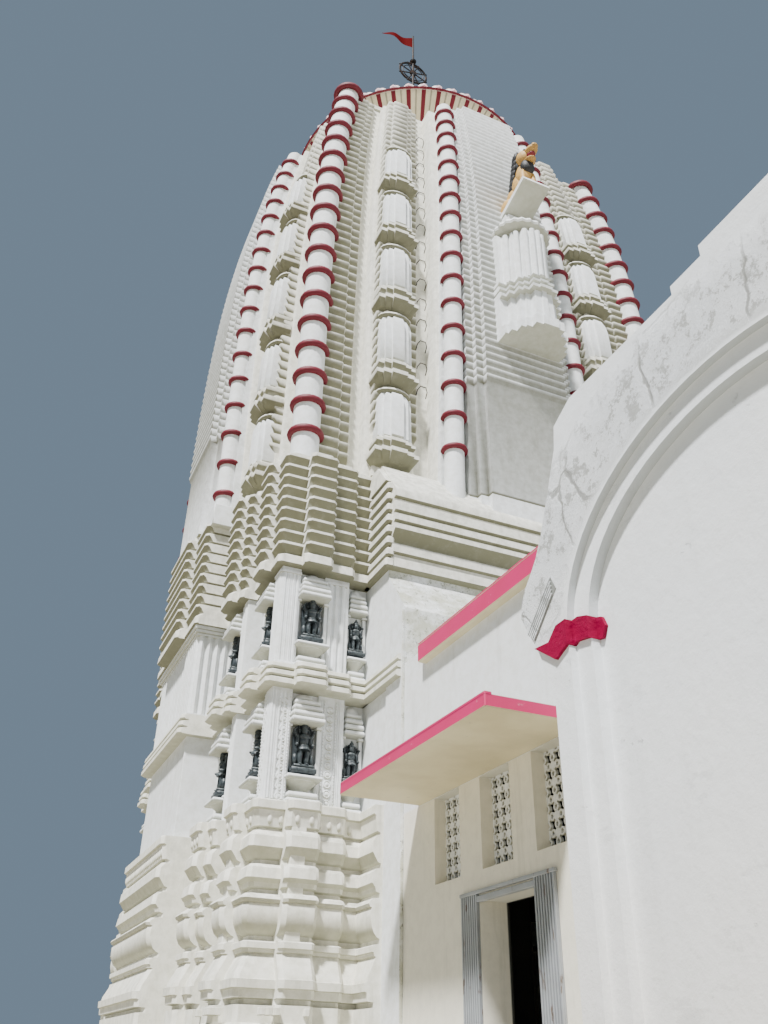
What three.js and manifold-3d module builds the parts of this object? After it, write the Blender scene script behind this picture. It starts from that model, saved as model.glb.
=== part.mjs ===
// Whitewashed temple of the Odishan tower type: a curved tower over a square sanctum, its vestibule,
// a low passage building with doors and pierced windows, and a front hall with blind arches.
// Millimetres, +Z up. The origin is on the ground under the centre of the tower, the front faces -Y.

import * as THREE from 'three';
import { mergeVertices } from 'three/addons/utils/BufferGeometryUtils.js';
import Module from 'manifold-3d';

const wasm = await Module();
wasm.setup();

// Levels above the ground
const FLOOR = 1080;
const BASE_TOP = 4810;
const BAND_FOOT = 6560;
const BAND_TOP = 6930;
const WALL_TOP = 8670;
const CORNICE_TOP = 11000;
const SPIRE_TOP = 23500;
const TOP_SLAB_TOP = 23700;
const NECK_TOP = 24750;
const RIM_LEVEL = 25590;
const AMALAKA_TOP = 26500;
const CAP_TOP = 27800;
const FINIAL_TOP = 30600;
const WHEEL_CENTRE = 31900;
const POLE_TOP = 34200;

// Plan of the tower wall, half a face from its middle to the corner: each element ends at `to`
// along the face and stands `out` from the tower's centre. On the front the vestibule covers all
// but the outer elements
const VESTIBULE_HALF = 2950;
const OUTER_ELEMENTS = 4;
const RECESS_OUT = 3970;
const CORNER = 4600;
const SANCTUM_HALF = 2000;
const WALL_PLAN = [
  { to: 1500, out: 5220 },
  { to: 2080, out: 4400 },
  { to: 2340, out: 4720 },
  { to: 2850, out: 4800 },
  { to: 3100, out: 4740 },
  { to: 3360, out: 4280 },
  { to: 3800, out: 4500 },
  { to: 4270, out: 4620 },
  { to: CORNER, out: CORNER },
];
const MOULDING_PLAN = [
  { to: 1600, out: 5230 },
  { to: 2060, out: 4600 },
  { to: 2340, out: 4770 },
  { to: 2850, out: 4930 },
  { to: 3100, out: 4770 },
  { to: 3380, out: 4460 },
  { to: 3840, out: 4600 },
  { to: 4270, out: 4770 },
  { to: CORNER, out: CORNER },
];
const CORNICE_PLAN = [{ to: 800, out: 5420 }, { to: 1650, out: 5240 }, ...MOULDING_PLAN.slice(1)];
const SIDE_GROWTH = 40;

// Courses of mouldings round the tower: foot, top and how far each stands out
const BASE_COURSES = [
  [0, 2060, 340],
  [2060, 2500, 260],
  [2500, 3000, 120],
  [3000, 3550, 230],
  [3550, 3620, 40],
  [3620, 3930, 160],
  [3930, 4000, 40],
  [4000, 4380, 160],
  [4380, 4420, 60],
  [4420, BASE_TOP, 160],
];
const BAND_COURSES = [
  [BAND_FOOT, 6680, 160],
  [6680, BAND_TOP, 140],
];
const CORNICE_COURSES = [
  [WALL_TOP, 8860, 120],
  [8860, 10420, 90],
  [10420, 10760, 50],
  [10760, CORNICE_TOP, 20],
];

// Doorway of the sanctum and the way to it through the vestibule
const INNER_DOOR_HALF = 650;
const INNER_DOOR_HEAD = 3250;
const VESTIBULE_WAY_HALF = 1000;
const VESTIBULE_WAY_HEAD = 3600;

// Vestibule: a tall block against the tower with a lower block in front
const VESTIBULE_FRONT = 5235;
const FORE_BLOCK_FRONT = 5885;
const FORE_BLOCK_TOP = 7700;
const SHOULDER_TOP = 8550;
const CORNICE_OUT = 5475;
const COVE_FOOT = 9180;
const COVE_TOP = 9330;
const SLAB_FOOT = 10200;
const SLAB_EDGE = 4870;

// Play between two pieces of which one is cut to the other
const SEAT = 0.6;

// Spire: it leans in by LEAN of its width, slowly at the foot and faster towards the top
const LEAN = 0.162;
const LEAN_POWER = 3.4;
const SPIRE_STEPS = 8;
const PANEL_BACK = 4850;
const SPIRE_PLAN = [
  { to: 1790, out: PANEL_BACK },
  { to: 2110, out: 4500 },
  { to: 3200, out: 4650 },
  { to: 3400, out: 4150 },
  { to: 4300, out: 4300 },
];
const SPIRE_ROOM_HALF = 2500;
const CORNER_COLUMN = { at: 4290, radius: 300 };
const RAHA_COLUMN = { along: 1560, out: 5070, radius: 235 };
const RAHA_GATHER = 0.13;
const RAHA_PLAN = [
  { to: 950, out: 5400 },
  { to: 1110, out: 5270 },
  { to: 1280, out: 5140 },
  { to: 1790, out: 5000 },
];
const COLUMN_SIDES = 10;

// Little shrines that stand on each other beside the middle of each spire face: foot and top,
// each with a broad foot and a narrower body
const SHRINES = [
  [11200, 13060],
  [13060, 15100],
  [15100, 17200],
  [17200, 19100],
  [19100, 20960],
];
const SHRINE_ALONG = 2660;
const SHRINE_BACK = 4550;
const SHRINE_GAP = 60;
const SHRINE_FOOT = { half: 450, waist: 240, side: 4860, out: 4980, share: 0.3 };
const SHRINE_BODY = { half: 340, waist: 200, side: 4780, out: 4880, share: 1 };

// Corbelled block on the front of the spire, a little to the right of its middle: each tier is
// stepped in plan and has its foot and top
const BLOCK_MIDDLE = 100;
const BLOCK_TIERS = [
  { foot: 14450, top: 15700, plan: [{ to: 300, out: 6280 }, { to: 520, out: 6030 }, { to: 750, out: 5700 }] },
  { foot: 15700, top: 16000, plan: [{ to: 320, out: 6180 }, { to: 530, out: 5930 }, { to: 740, out: 5640 }] },
  { foot: 16000, top: 17650, plan: [{ to: 290, out: 6050 }, { to: 440, out: 5790 }, { to: 660, out: 5560 }] },
  { foot: 17650, top: 18300, plan: [{ to: 520, out: 5600 }] },
];

// The ledge on the block and the lion seated on it
const LEDGE = { half: 350, edgeFoot: 18800, top: 18930, out: 6300, footOut: 5500 };
const LION = {
  hips: { out: 5400, up: 380, size: [360, 380, 470] },
  chest: { out: 5820, up: 620, size: [230, 250, 420] },
  head: { out: 5990, up: 1150, size: [250, 240, 260] },
  muzzle: { out: 6190, up: 1090, size: [130, 160, 120] },
  foreleg: { along: 150, half: 65, back: 5900, front: 6060, up: 620 },
  hindleg: { along: 270, half: 75, back: 5350, front: 5760, up: 260 },
};

// Crown of the tower
const TOP_SLAB_HALF = 3500;
const NECK_RADIUS = 2500;
const NECK_SIDES = 24;
const CAP_SIDES = 20;
const POT_SIDES = 16;
const RIB_COUNT = 52;
const RIB_DEPTH = 0.045;
const AMALAKA_RINGS = [
  { level: NECK_TOP, radius: 2700 },
  { level: NECK_TOP + 420, radius: 3340 },
  { level: RIM_LEVEL, radius: 3640 },
  { level: RIM_LEVEL + 260, radius: 3600 },
  { level: RIM_LEVEL + 560, radius: 3360 },
  { level: AMALAKA_TOP, radius: 2600 },
];
const CAP_PROFILE = [
  [0, 0],
  [2120, 0],
  [2350, 200],
  [2020, 680],
  [1180, 1060],
  [610, CAP_TOP - AMALAKA_TOP],
  [0, CAP_TOP - AMALAKA_TOP],
];
const POT_PROFILE = [
  [0, 0],
  [520, 0],
  [420, 260],
  [720, 520],
  [900, 940],
  [630, 1400],
  [300, 1680],
  [520, 1880],
  [180, 2180],
  [90, FINIAL_TOP - CAP_TOP],
  [0, FINIAL_TOP - CAP_TOP],
];
const WHEEL = { radius: 560, rim: 90, depth: 70, hub: 130, spoke: 45, spokes: 8, sides: 20 };
const HUB_SIDES = 10;
const POLE_RADIUS = 38;
const POLE_SIDES = 8;
const FLAG = { foot: 33450, head: 34020, length: 1200, thickness: 8 };

// Passage building with its doors, windows, canopies and folded gates
const PASSAGE_HALF = 2950;
const PASSAGE_WALL = 380;
const PASSAGE_ROOM_HALF = PASSAGE_HALF - PASSAGE_WALL;
const ROOF_FOOT = 6500;
const ROOF_TOP = 6760;
const ROOF_OVERHANG = 130;
const OVERHANG_FROM = -6585;
const DOOR = { far: -7915, near: -9105, head: 3170 };
const WINDOW_SILL = 3490;
const WINDOW_HEAD = 4540;
const WINDOW_MIDDLES = [-7145, -8340, -9490];
const WINDOW_WIDTH = 675;
const SCREEN = { depth: 60, inset: 150, rows: 5, columns: 3, bar: 45 };
const CANOPY = { far: -6385, near: -10185, out: 4110, foot: 4545, top: 4690 };
const GATE = { width: 380, depth: 45, head: 3260 };
const STEPS = { count: 5, tread: 280, margin: 100 };

// Front hall
const HALL_HALF = 4350;
const HALL_BACK = -11745;
const HALL_WALL = 450;
const CORNER_PIER = 450;
const ARCH_SPAN = 3500;
const MIDDLE_PIER = 600;
const HALL_FRONT = HALL_BACK - 2 * CORNER_PIER - 2 * ARCH_SPAN - MIDDLE_PIER;
const HALL_ROOM_HALF = HALL_HALF - HALL_WALL;
const HALL_ROOF_FOOT = 6450;
const HALL_ROOF_TOP = 6590;
const PARAPET_LEVELS = [6700, 6790, 6900];
const PARAPET_STEPS = [2010, 2360];
const ARCH_SPRING = 4580;
const ARCH_RISE = 1100;
const ARCH_SEGMENTS = 8;
const PANEL_DEPTH = 120;
const SPRINGER = [
  [0, 4070],
  [200, 4570],
  [420, 4940],
  [330, 5190],
  [130, 5400],
  [-40, 5720],
  [-300, 6320],
  [-330, 6560],
  [-600, 6700],
];

// Finishes
const plaster = { color: 0xeeece4, roughness: 0.85, metalness: 0 };
const agedPlaster = { color: 0xd9d4c0, roughness: 0.9, metalness: 0 };
const creamPlaster = { color: 0xe6ddc2, roughness: 0.85, metalness: 0 };
const pinkPlaster = { color: 0xd96a8a, roughness: 0.7, metalness: 0 };
const ribPlaster = { color: 0xc98b92, roughness: 0.75, metalness: 0 };
const stoneFloor = { color: 0x9a9388, roughness: 0.8, metalness: 0 };
const greyPaint = { color: 0x8c8f92, roughness: 0.5, metalness: 0.6 };
const darkIron = { color: 0x23211f, roughness: 0.6, metalness: 0.7 };
const redCloth = { color: 0xb3121d, roughness: 0.8, metalness: 0 };
const lionPlaster = { color: 0xdcc078, roughness: 0.7, metalness: 0 };

const temple = new THREE.Group();

// Adds a named piece to the temple.
function addPiece(name, shape, finish) {
  const mesh = new THREE.Mesh(geometryOf(shape), new THREE.MeshStandardMaterial(finish));
  mesh.name = name;
  temple.add(mesh);
}

// Turns a closed geometry into a solid that can be joined and cut.
function solid(geometry) {
  const bare = geometry.clone();
  bare.deleteAttribute('normal');
  bare.deleteAttribute('uv');
  const merged = mergeVertices(bare, 1e-3);
  return new wasm.Manifold(new wasm.Mesh({
    numProp: 3,
    vertProperties: new Float32Array(merged.attributes.position.array),
    triVerts: new Uint32Array(merged.index.array),
  }));
}

// Turns a solid back into a geometry.
function geometryOf(shape) {
  const mesh = shape.getMesh();
  const geometry = new THREE.BufferGeometry();
  geometry.setAttribute('position', new THREE.BufferAttribute(new Float32Array(mesh.vertProperties), 3));
  geometry.setIndex(new THREE.BufferAttribute(new Uint32Array(mesh.triVerts), 1));
  geometry.computeVertexNormals();
  return geometry;
}

function joined(shapes) {
  return shapes.reduce((whole, shape) => whole.add(shape));
}

// A box between two corners.
function box([x0, y0, z0], [x1, y1, z1]) {
  const geometry = new THREE.BoxGeometry(x1 - x0, y1 - y0, z1 - z0);
  geometry.translate((x0 + x1) / 2, (y0 + y1) / 2, (z0 + z1) / 2);
  return solid(geometry);
}

function pointsOf(list) {
  return list.map(([x, y]) => new THREE.Vector2(x, y));
}

function shapeOf(outline, holes = []) {
  const shape = new THREE.Shape(pointsOf(outline));
  for (const hole of holes) shape.holes.push(new THREE.Path(pointsOf(hole)));
  return shape;
}

// An upright prism of a plan between two levels.
function prism(outline, foot, top, holes = [], steps = 1) {
  const options = { depth: top - foot, steps, bevelEnabled: false };
  return new THREE.ExtrudeGeometry(shapeOf(outline, holes), options).translate(0, 0, foot);
}

// A prism along X of an outline given as [y, z], between two values of x.
function prismAlongX(outline, from, to, holes = []) {
  const geometry = prism(outline, 0, to - from, holes);
  geometry.rotateX(Math.PI / 2).rotateZ(Math.PI / 2);
  return solid(geometry.translate(from, 0, 0));
}

// A prism along Y of an outline given as [x, z], between two values of y.
function prismAlongY(outline, from, to, holes = []) {
  const geometry = prism(outline, 0, to - from, holes);
  return solid(geometry.rotateX(Math.PI / 2).translate(0, to, 0));
}

function rectangle(x0, y0, x1, y1) {
  return [[x0, y0], [x1, y0], [x1, y1], [x0, y1]];
}

function square(half) {
  return rectangle(-half, -half, half, half);
}

// A ring of points round the origin.
function ring(radius, sides, turn = 0) {
  const angles = Array.from({ length: sides }, (_, i) => ((i + turn) * 2 * Math.PI) / sides);
  return angles.map((angle) => [Math.cos(angle) * radius, Math.sin(angle) * radius]);
}

// A solid of revolution from [radius, z] points, which start and end on the axis.
function turnedShape(profile, sides) {
  return solid(new THREE.LatheGeometry(pointsOf(profile), sides).rotateX(Math.PI / 2));
}

// A round or egg-shaped body.
function ball([x, y, z], [rx, ry, rz], sides = 10) {
  const geometry = new THREE.SphereGeometry(1, sides, Math.round(sides * 0.6));
  return solid(geometry.scale(rx, ry, rz).translate(x, y, z));
}

// Half a face of a plan from its elements, grown by `grow`. The first element keeps its place
// where `fixedOut` is given, so that another piece can stand against it.
function halfFace(elements, grow, fixedOut) {
  const side = Math.min(grow, SIDE_GROWTH);
  let start = 0;
  return elements.map(({ to, out }, i) => {
    const next = elements[i + 1];
    const fixed = i === 0 && fixedOut !== undefined;
    const shift = next && (out > next.out ? side : -side);
    const end = next ? to + (fixed ? 0 : shift) : to + grow;
    const element = { from: start, to: end, out: fixed ? fixedOut : out + grow };
    start = end;
    return element;
  });
}

// The closed outline of a plan with four like faces, the first of which may be cut back.
function fourFaces(elements, grow, frontOut) {
  const outline = [];
  for (let quarter = 0; quarter < 4; quarter += 1) {
    const cut = quarter === 0 && frontOut !== undefined;
    const covered = { to: VESTIBULE_HALF, out: frontOut };
    const half = cut
      ? halfFace([covered, ...elements.slice(-OUTER_ELEMENTS)], grow, frontOut)
      : halfFace(elements, grow);
    const left = [...half].reverse().flatMap(({ from, to, out }) => [[-to, out], [-from, out]]);
    const right = half.flatMap(({ from, to, out }) => [[from, out], [to, out]]);
    const turn = new THREE.Matrix4().makeRotationZ((quarter * Math.PI) / 2);
    for (const [along, out] of [...left, ...right]) {
      const point = new THREE.Vector3(along, -out, 0).applyMatrix4(turn);
      outline.push([Math.round(point.x * 10) / 10, Math.round(point.y * 10) / 10]);
    }
  }
  return withoutStraightPoints(outline);
}

// Drops doubled points and points on a straight run.
function withoutStraightPoints(outline) {
  const before = (list, i) => list[(i + list.length - 1) % list.length];
  const after = (list, i) => list[(i + 1) % list.length];
  const apart = outline.filter((p, i) => {
    const q = after(outline, i);
    return Math.hypot(p[0] - q[0], p[1] - q[1]) > 0.05;
  });
  return apart.filter((p, i) => {
    const [a, b] = [before(apart, i), after(apart, i)];
    return Math.abs((p[0] - a[0]) * (b[1] - p[1]) - (p[1] - a[1]) * (b[0] - p[0])) > 1;
  });
}

// One course of the tower wall, hollow round the sanctum and flat where the vestibule stands.
function course(plan, foot, top, grow) {
  return solid(prism(fourFaces(plan, grow, RECESS_OUT), foot, top, [square(SANCTUM_HALF)]));
}

function courses(list, plan = MOULDING_PLAN) {
  return joined(list.map(([foot, top, grow]) => course(plan, foot, top, grow)));
}

function makeTower() {
  const doorway = box([-INNER_DOOR_HALF, -CORNER, -1], [INNER_DOOR_HALF, 0, INNER_DOOR_HEAD]);
  addPiece('tower_base_mouldings', courses(BASE_COURSES).subtract(doorway), agedPlaster);
  addPiece('tower_lower_wall', course(WALL_PLAN, BASE_TOP, BAND_FOOT, 0), plaster);
  addPiece('tower_band_moulding', courses(BAND_COURSES), agedPlaster);
  addPiece('tower_upper_wall', course(WALL_PLAN, BAND_TOP, WALL_TOP, 0), plaster);
  addPiece('tower_cornice', courses(CORNICE_COURSES, CORNICE_PLAN), agedPlaster);
}

function makeVestibule() {
  const body = prismAlongX([
    [-RECESS_OUT, 0],
    [-RECESS_OUT, WALL_TOP],
    [-VESTIBULE_FRONT, WALL_TOP],
    [-VESTIBULE_FRONT, SHOULDER_TOP],
    [-FORE_BLOCK_FRONT, FORE_BLOCK_TOP],
    [-FORE_BLOCK_FRONT, 0],
  ], -VESTIBULE_HALF, VESTIBULE_HALF);
  const way = box(
    [-VESTIBULE_WAY_HALF, -FORE_BLOCK_FRONT - 1, -1],
    [VESTIBULE_WAY_HALF, 0, VESTIBULE_WAY_HEAD],
  );
  addPiece('vestibule_body', body.subtract(way), plaster);
  addPiece('vestibule_cornice', vestibuleCornice(), agedPlaster);
}

function vestibuleCornice() {
  return prismAlongX([
    [-RECESS_OUT, WALL_TOP],
    [-RECESS_OUT, CORNICE_TOP],
    [-SLAB_EDGE, CORNICE_TOP],
    [-CORNICE_OUT, SLAB_FOOT],
    [-CORNICE_OUT, COVE_TOP],
    [-VESTIBULE_FRONT, COVE_FOOT],
    [-VESTIBULE_FRONT, WALL_TOP],
  ], -VESTIBULE_HALF, VESTIBULE_HALF);
}

// How far up the spire a level is, as a share of its height.
function riseAt(z) {
  return Math.max(0, (z - CORNICE_TOP) / (SPIRE_TOP - CORNICE_TOP));
}

// How wide the spire is at a level, as a share of its width at the foot.
function leanAt(z) {
  return 1 - LEAN * riseAt(z) ** LEAN_POWER;
}

// Moves every point of a geometry to the place that `place` gives for it.
function placed(geometry, place) {
  const position = geometry.attributes.position;
  for (let i = 0; i < position.count; i += 1) {
    const z = position.getZ(i);
    position.setXY(i, ...place(position.getX(i), position.getY(i), z));
  }
  return geometry;
}

// Draws an upright geometry in towards the axis, as the spire leans. `gather` draws it closer
// to the middle of its face too.
function leaned(geometry, gather = 0) {
  return placed(geometry, (x, y, z) => [x * leanAt(z) * (1 - gather * riseAt(z)), y * leanAt(z)]);
}

// An upright prism over the spire's whole height, in the spire's steps, leaned.
function leanedPrism(outline, holes = [], gather = 0) {
  return leaned(prism(outline, CORNICE_TOP, SPIRE_TOP, holes, SPIRE_STEPS), gather);
}

// A round column of even thickness that follows the lean of the spire.
function leaningColumn(along, out, radius, gather = 0) {
  const geometry = prism(ring(radius, COLUMN_SIDES, 0.5), CORNICE_TOP, SPIRE_TOP, [], SPIRE_STEPS);
  return placed(geometry, (x, y, z) => [
    x + along * leanAt(z) * (1 - gather * riseAt(z)),
    y - out * leanAt(z),
  ]);
}

// The outline of a part that stands out of the front face in steps, from `back` outwards.
function steppedOutline(plan, back) {
  const half = halfFace(plan, 0);
  const left = [...half].reverse().flatMap(({ from, to, out }) => [[-to, -out], [-from, -out]]);
  const right = half.flatMap(({ from, to, out }) => [[from, -out], [to, -out]]);
  const width = plan[plan.length - 1].to;
  return withoutStraightPoints([...left, ...right, [width, -back], [-width, -back]]);
}

// One part of a little shrine beside the middle of the front face, on the side that `sign` says.
function shrinePart({ half, waist, side, out, share }, [foot, top], sign) {
  const outline = [
    [SHRINE_ALONG - half, -SHRINE_BACK],
    [SHRINE_ALONG - half, -side],
    [SHRINE_ALONG - waist, -out],
    [SHRINE_ALONG + waist, -out],
    [SHRINE_ALONG + half, -side],
    [SHRINE_ALONG + half, -SHRINE_BACK],
  ].map(([x, y]) => [sign * x, y]);
  const height = top - foot - SHRINE_GAP;
  return solid(leaned(prism(outline, foot + SHRINE_GAP / 2, foot + SHRINE_GAP / 2 + height * share)));
}

function shrine(levels, sign) {
  return shrinePart(SHRINE_FOOT, levels, sign).add(shrinePart(SHRINE_BODY, levels, sign));
}

// The stepped middle panel of the front face with its pair of round columns.
function rahaPanel() {
  const back = PANEL_BACK + SEAT;
  const width = RAHA_PLAN[RAHA_PLAN.length - 1].to;
  const keep = solid(leanedPrism(rectangle(-width, -CORNER * 2, width, -back), [], RAHA_GATHER));
  const { along, out, radius } = RAHA_COLUMN;
  const columns = [-along, along].map((x) => solid(leaningColumn(x, out, radius, RAHA_GATHER)));
  const panel = solid(leanedPrism(steppedOutline(RAHA_PLAN, back), [], RAHA_GATHER));
  return joined([panel, ...columns.map((column) => column.intersect(keep))]);
}

// The foot of the front panel, which runs down to the sloping top of the vestibule.
function panelFoot() {
  const slope = vestibuleCornice().translate([0, -SEAT, SEAT]);
  const { along, out, radius } = RAHA_COLUMN;
  const columns = [-along, along].map((x) => {
    const outline = ring(radius, COLUMN_SIDES, 0.5).map(([dx, dy]) => [x + dx, dy - out]);
    return solid(prism(outline, SLAB_FOOT, CORNICE_TOP));
  });
  const behind = box([-VESTIBULE_HALF, -SLAB_EDGE - SEAT, SLAB_FOOT], [VESTIBULE_HALF, 0, CORNICE_TOP]);
  const panel = solid(prism(steppedOutline(RAHA_PLAN, SLAB_EDGE), SLAB_FOOT, CORNICE_TOP));
  return joined([panel, ...columns]).subtract(behind).subtract(slope);
}

// The same solid on another face of the tower.
function onFace(shape, quarter) {
  return solid(geometryOf(shape).rotateZ((quarter * Math.PI) / 2));
}

function makeSpire() {
  const corners = ['front_right', 'back_right', 'back_left', 'front_left'];
  const faces = ['front', 'right', 'back', 'left'];
  const { at, radius } = CORNER_COLUMN;
  const column = solid(leaningColumn(at, at, radius));
  const seat = solid(leaningColumn(at, at, radius + SEAT));
  const panel = rahaPanel();
  let core = solid(leanedPrism(fourFaces(SPIRE_PLAN, 0), [square(SPIRE_ROOM_HALF)]));
  for (const quarter of [0, 1, 2, 3]) {
    core = core.subtract(onFace(seat, quarter));
    for (const levels of SHRINES) {
      for (const sign of [-1, 1]) core = core.add(onFace(shrine(levels, sign), quarter));
    }
    addPiece(`corner_column_${corners[quarter]}`, onFace(column, quarter), plaster);
    const faced = quarter === 0 ? panel.add(panelFoot()) : onFace(panel, quarter);
    addPiece(`middle_panel_${faces[quarter]}`, faced, plaster);
  }
  addPiece('spire_core', core, agedPlaster);
}

// A body of the lion, `out` from the tower's axis and `up` from the ledge.
function lionBody({ out, up, size }) {
  return ball([0, -out, LEDGE.top + up], size);
}

// A leg of the lion on the side that `sign` says.
function lionLeg({ along, half, back, front, up }, sign) {
  const middle = sign * along;
  return box([middle - half, -front, LEDGE.top], [middle + half, -back, LEDGE.top + up]);
}

// The corbelled block with the ledge on it and the seated lion, in front of the middle panel.
function makeLion() {
  const clear = RAHA_PLAN.map(({ to, out }) => ({ to: to + SEAT, out: out + SEAT }));
  const behind = solid(leanedPrism(steppedOutline(clear, 0), [], RAHA_GATHER));
  const tiers = BLOCK_TIERS.map(({ foot, top, plan }) => (
    solid(prism(steppedOutline(plan, RECESS_OUT), foot, top))
  ));
  const blockTop = BLOCK_TIERS[BLOCK_TIERS.length - 1].top;
  const ledge = prismAlongX([
    [-RECESS_OUT, blockTop],
    [-RECESS_OUT, LEDGE.top],
    [-LEDGE.out, LEDGE.top],
    [-LEDGE.out, LEDGE.edgeFoot],
    [-LEDGE.footOut, blockTop],
  ], -LEDGE.half, LEDGE.half);
  const aside = [BLOCK_MIDDLE, 0, 0];
  const block = joined([...tiers, ledge]).translate(aside).subtract(behind);
  addPiece('corbelled_block', block, plaster);
  const parts = [LION.hips, LION.chest, LION.head, LION.muzzle].map(lionBody);
  for (const sign of [-1, 1]) parts.push(lionLeg(LION.foreleg, sign), lionLeg(LION.hindleg, sign));
  const reach = LION.hips.size[0] * 2;
  const ground = box([-reach, -LEDGE.out, 0], [reach, -RECESS_OUT, LEDGE.top]);
  addPiece('lion', joined(parts).subtract(ground).translate(aside).subtract(behind), lionPlaster);
}

// The ribbed disc on the neck: a star of rounded ribs that widens to its rim and closes again.
function amalaka() {
  const star = [];
  for (let i = 0; i < RIB_COUNT * 2; i += 1) {
    const angle = (i * Math.PI) / RIB_COUNT;
    const radius = i % 2 === 0 ? 1 : 1 - RIB_DEPTH;
    star.push([Math.cos(angle) * radius, Math.sin(angle) * radius]);
  }
  const last = AMALAKA_RINGS.length - 1;
  const geometry = prism(star, 0, 1, [], last);
  const position = geometry.attributes.position;
  for (let i = 0; i < position.count; i += 1) {
    const { level, radius } = AMALAKA_RINGS[Math.round(position.getZ(i) * last)];
    position.setXYZ(i, position.getX(i) * radius, position.getY(i) * radius, level);
  }
  return solid(geometry);
}

// A solid of revolution that stands on a level.
function turnedOn(level, profile, sides) {
  return turnedShape(profile.map(([radius, up]) => [radius, level + up]), sides);
}

function makeCrown() {
  const slab = box([-TOP_SLAB_HALF, -TOP_SLAB_HALF, SPIRE_TOP], [TOP_SLAB_HALF, TOP_SLAB_HALF, TOP_SLAB_TOP]);
  addPiece('spire_top_slab', slab, agedPlaster);
  addPiece('neck', solid(prism(ring(NECK_RADIUS, NECK_SIDES), TOP_SLAB_TOP, NECK_TOP)), creamPlaster);
  addPiece('amalaka_disc', amalaka(), ribPlaster);
  addPiece('crown_cap', turnedOn(AMALAKA_TOP, CAP_PROFILE, CAP_SIDES), creamPlaster);
  addPiece('finial_pot', turnedOn(CAP_TOP, POT_PROFILE, POT_SIDES), creamPlaster);
}

// The iron wheel stands on the pole over the finial and faces the front.
function makeWheelAndFlag() {
  const { radius, rim, depth, hub, spoke, spokes, sides } = WHEEL;
  const tyre = prism(ring(radius, sides), -depth / 2, depth / 2, [ring(radius - rim, sides)]);
  const parts = [solid(tyre), solid(prism(ring(hub, HUB_SIDES), -depth / 2, depth / 2))];
  for (let i = 0; i < spokes; i += 1) {
    const bar = prism(rectangle(0, -spoke / 2, radius - rim / 2, spoke / 2), -spoke / 2, spoke / 2);
    parts.push(solid(bar.rotateZ(((i + 0.5) * 2 * Math.PI) / spokes)));
  }
  const wheel = geometryOf(joined(parts)).rotateX(Math.PI / 2).translate(0, 0, WHEEL_CENTRE);
  const pole = prism(ring(POLE_RADIUS, POLE_SIDES, 0.5), FINIAL_TOP, POLE_TOP);
  addPiece('wheel_and_pole', solid(wheel).add(solid(pole)), darkIron);
  const start = -POLE_RADIUS * Math.cos(Math.PI / POLE_SIDES) - SEAT / 2;
  const pennant = [[start, FLAG.foot], [start, FLAG.head], [start - FLAG.length, (FLAG.foot + FLAG.head) / 2]];
  addPiece('flag', prismAlongY(pennant, -FLAG.thickness / 2, FLAG.thickness / 2), redCloth);
}

// One floor runs from the sanctum through the vestibule and the passage into the hall.
function makeFloor() {
  const strips = [
    [SANCTUM_HALF, -SANCTUM_HALF, SANCTUM_HALF],
    [INNER_DOOR_HALF, -RECESS_OUT, -SANCTUM_HALF],
    [VESTIBULE_WAY_HALF, -FORE_BLOCK_FRONT, -RECESS_OUT],
    [PASSAGE_ROOM_HALF, HALL_BACK, -FORE_BLOCK_FRONT],
    [PASSAGE_HALF, DOOR.near, DOOR.far],
    [PASSAGE_HALF, HALL_BACK - HALL_WALL, HALL_BACK],
    [HALL_ROOM_HALF, HALL_FRONT + HALL_WALL, HALL_BACK - HALL_WALL],
  ];
  const slabs = strips.map(([half, near, far]) => box([-half, near, 0], [half, far, FLOOR]));
  addPiece('floor_slab', joined(slabs), stoneFloor);
}

// The pierced screens of the window wall, each a grid of square holes in a thin plate.
function windowWall() {
  const { depth, inset, rows, columns, bar } = SCREEN;
  const wall = box([-PASSAGE_HALF, HALL_BACK, DOOR.head], [-PASSAGE_ROOM_HALF, -FORE_BLOCK_FRONT, ROOF_FOOT]);
  const cuts = [];
  for (const middle of WINDOW_MIDDLES) {
    const [near, far] = [middle - WINDOW_WIDTH / 2, middle + WINDOW_WIDTH / 2];
    const face = -PASSAGE_HALF + inset;
    cuts.push(box([-PASSAGE_HALF - 1, near, WINDOW_SILL], [face, far, WINDOW_HEAD]));
    cuts.push(box([face + depth, near, WINDOW_SILL], [-PASSAGE_ROOM_HALF + 1, far, WINDOW_HEAD]));
    const [wide, high] = [WINDOW_WIDTH / columns, (WINDOW_HEAD - WINDOW_SILL) / rows];
    for (let row = 0; row < rows; row += 1) {
      for (let column = 0; column < columns; column += 1) {
        const [y, z] = [near + column * wide, WINDOW_SILL + row * high];
        cuts.push(box([face - 1, y + bar, z + bar], [face + depth + 1, y + wide - bar, z + high - bar]));
      }
    }
  }
  return wall.subtract(joined(cuts));
}

// The other side of the building has the same piece, mirrored in its plane of symmetry.
function mirrored(shape) {
  const geometry = geometryOf(shape).scale(-1, 1, 1);
  const corners = geometry.index.array;
  for (let i = 0; i < corners.length; i += 3) [corners[i], corners[i + 1]] = [corners[i + 1], corners[i]];
  return solid(geometry);
}

function addPair(name, shape, finish) {
  addPiece(`left_${name}`, shape, finish);
  addPiece(`right_${name}`, mirrored(shape), finish);
}

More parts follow.
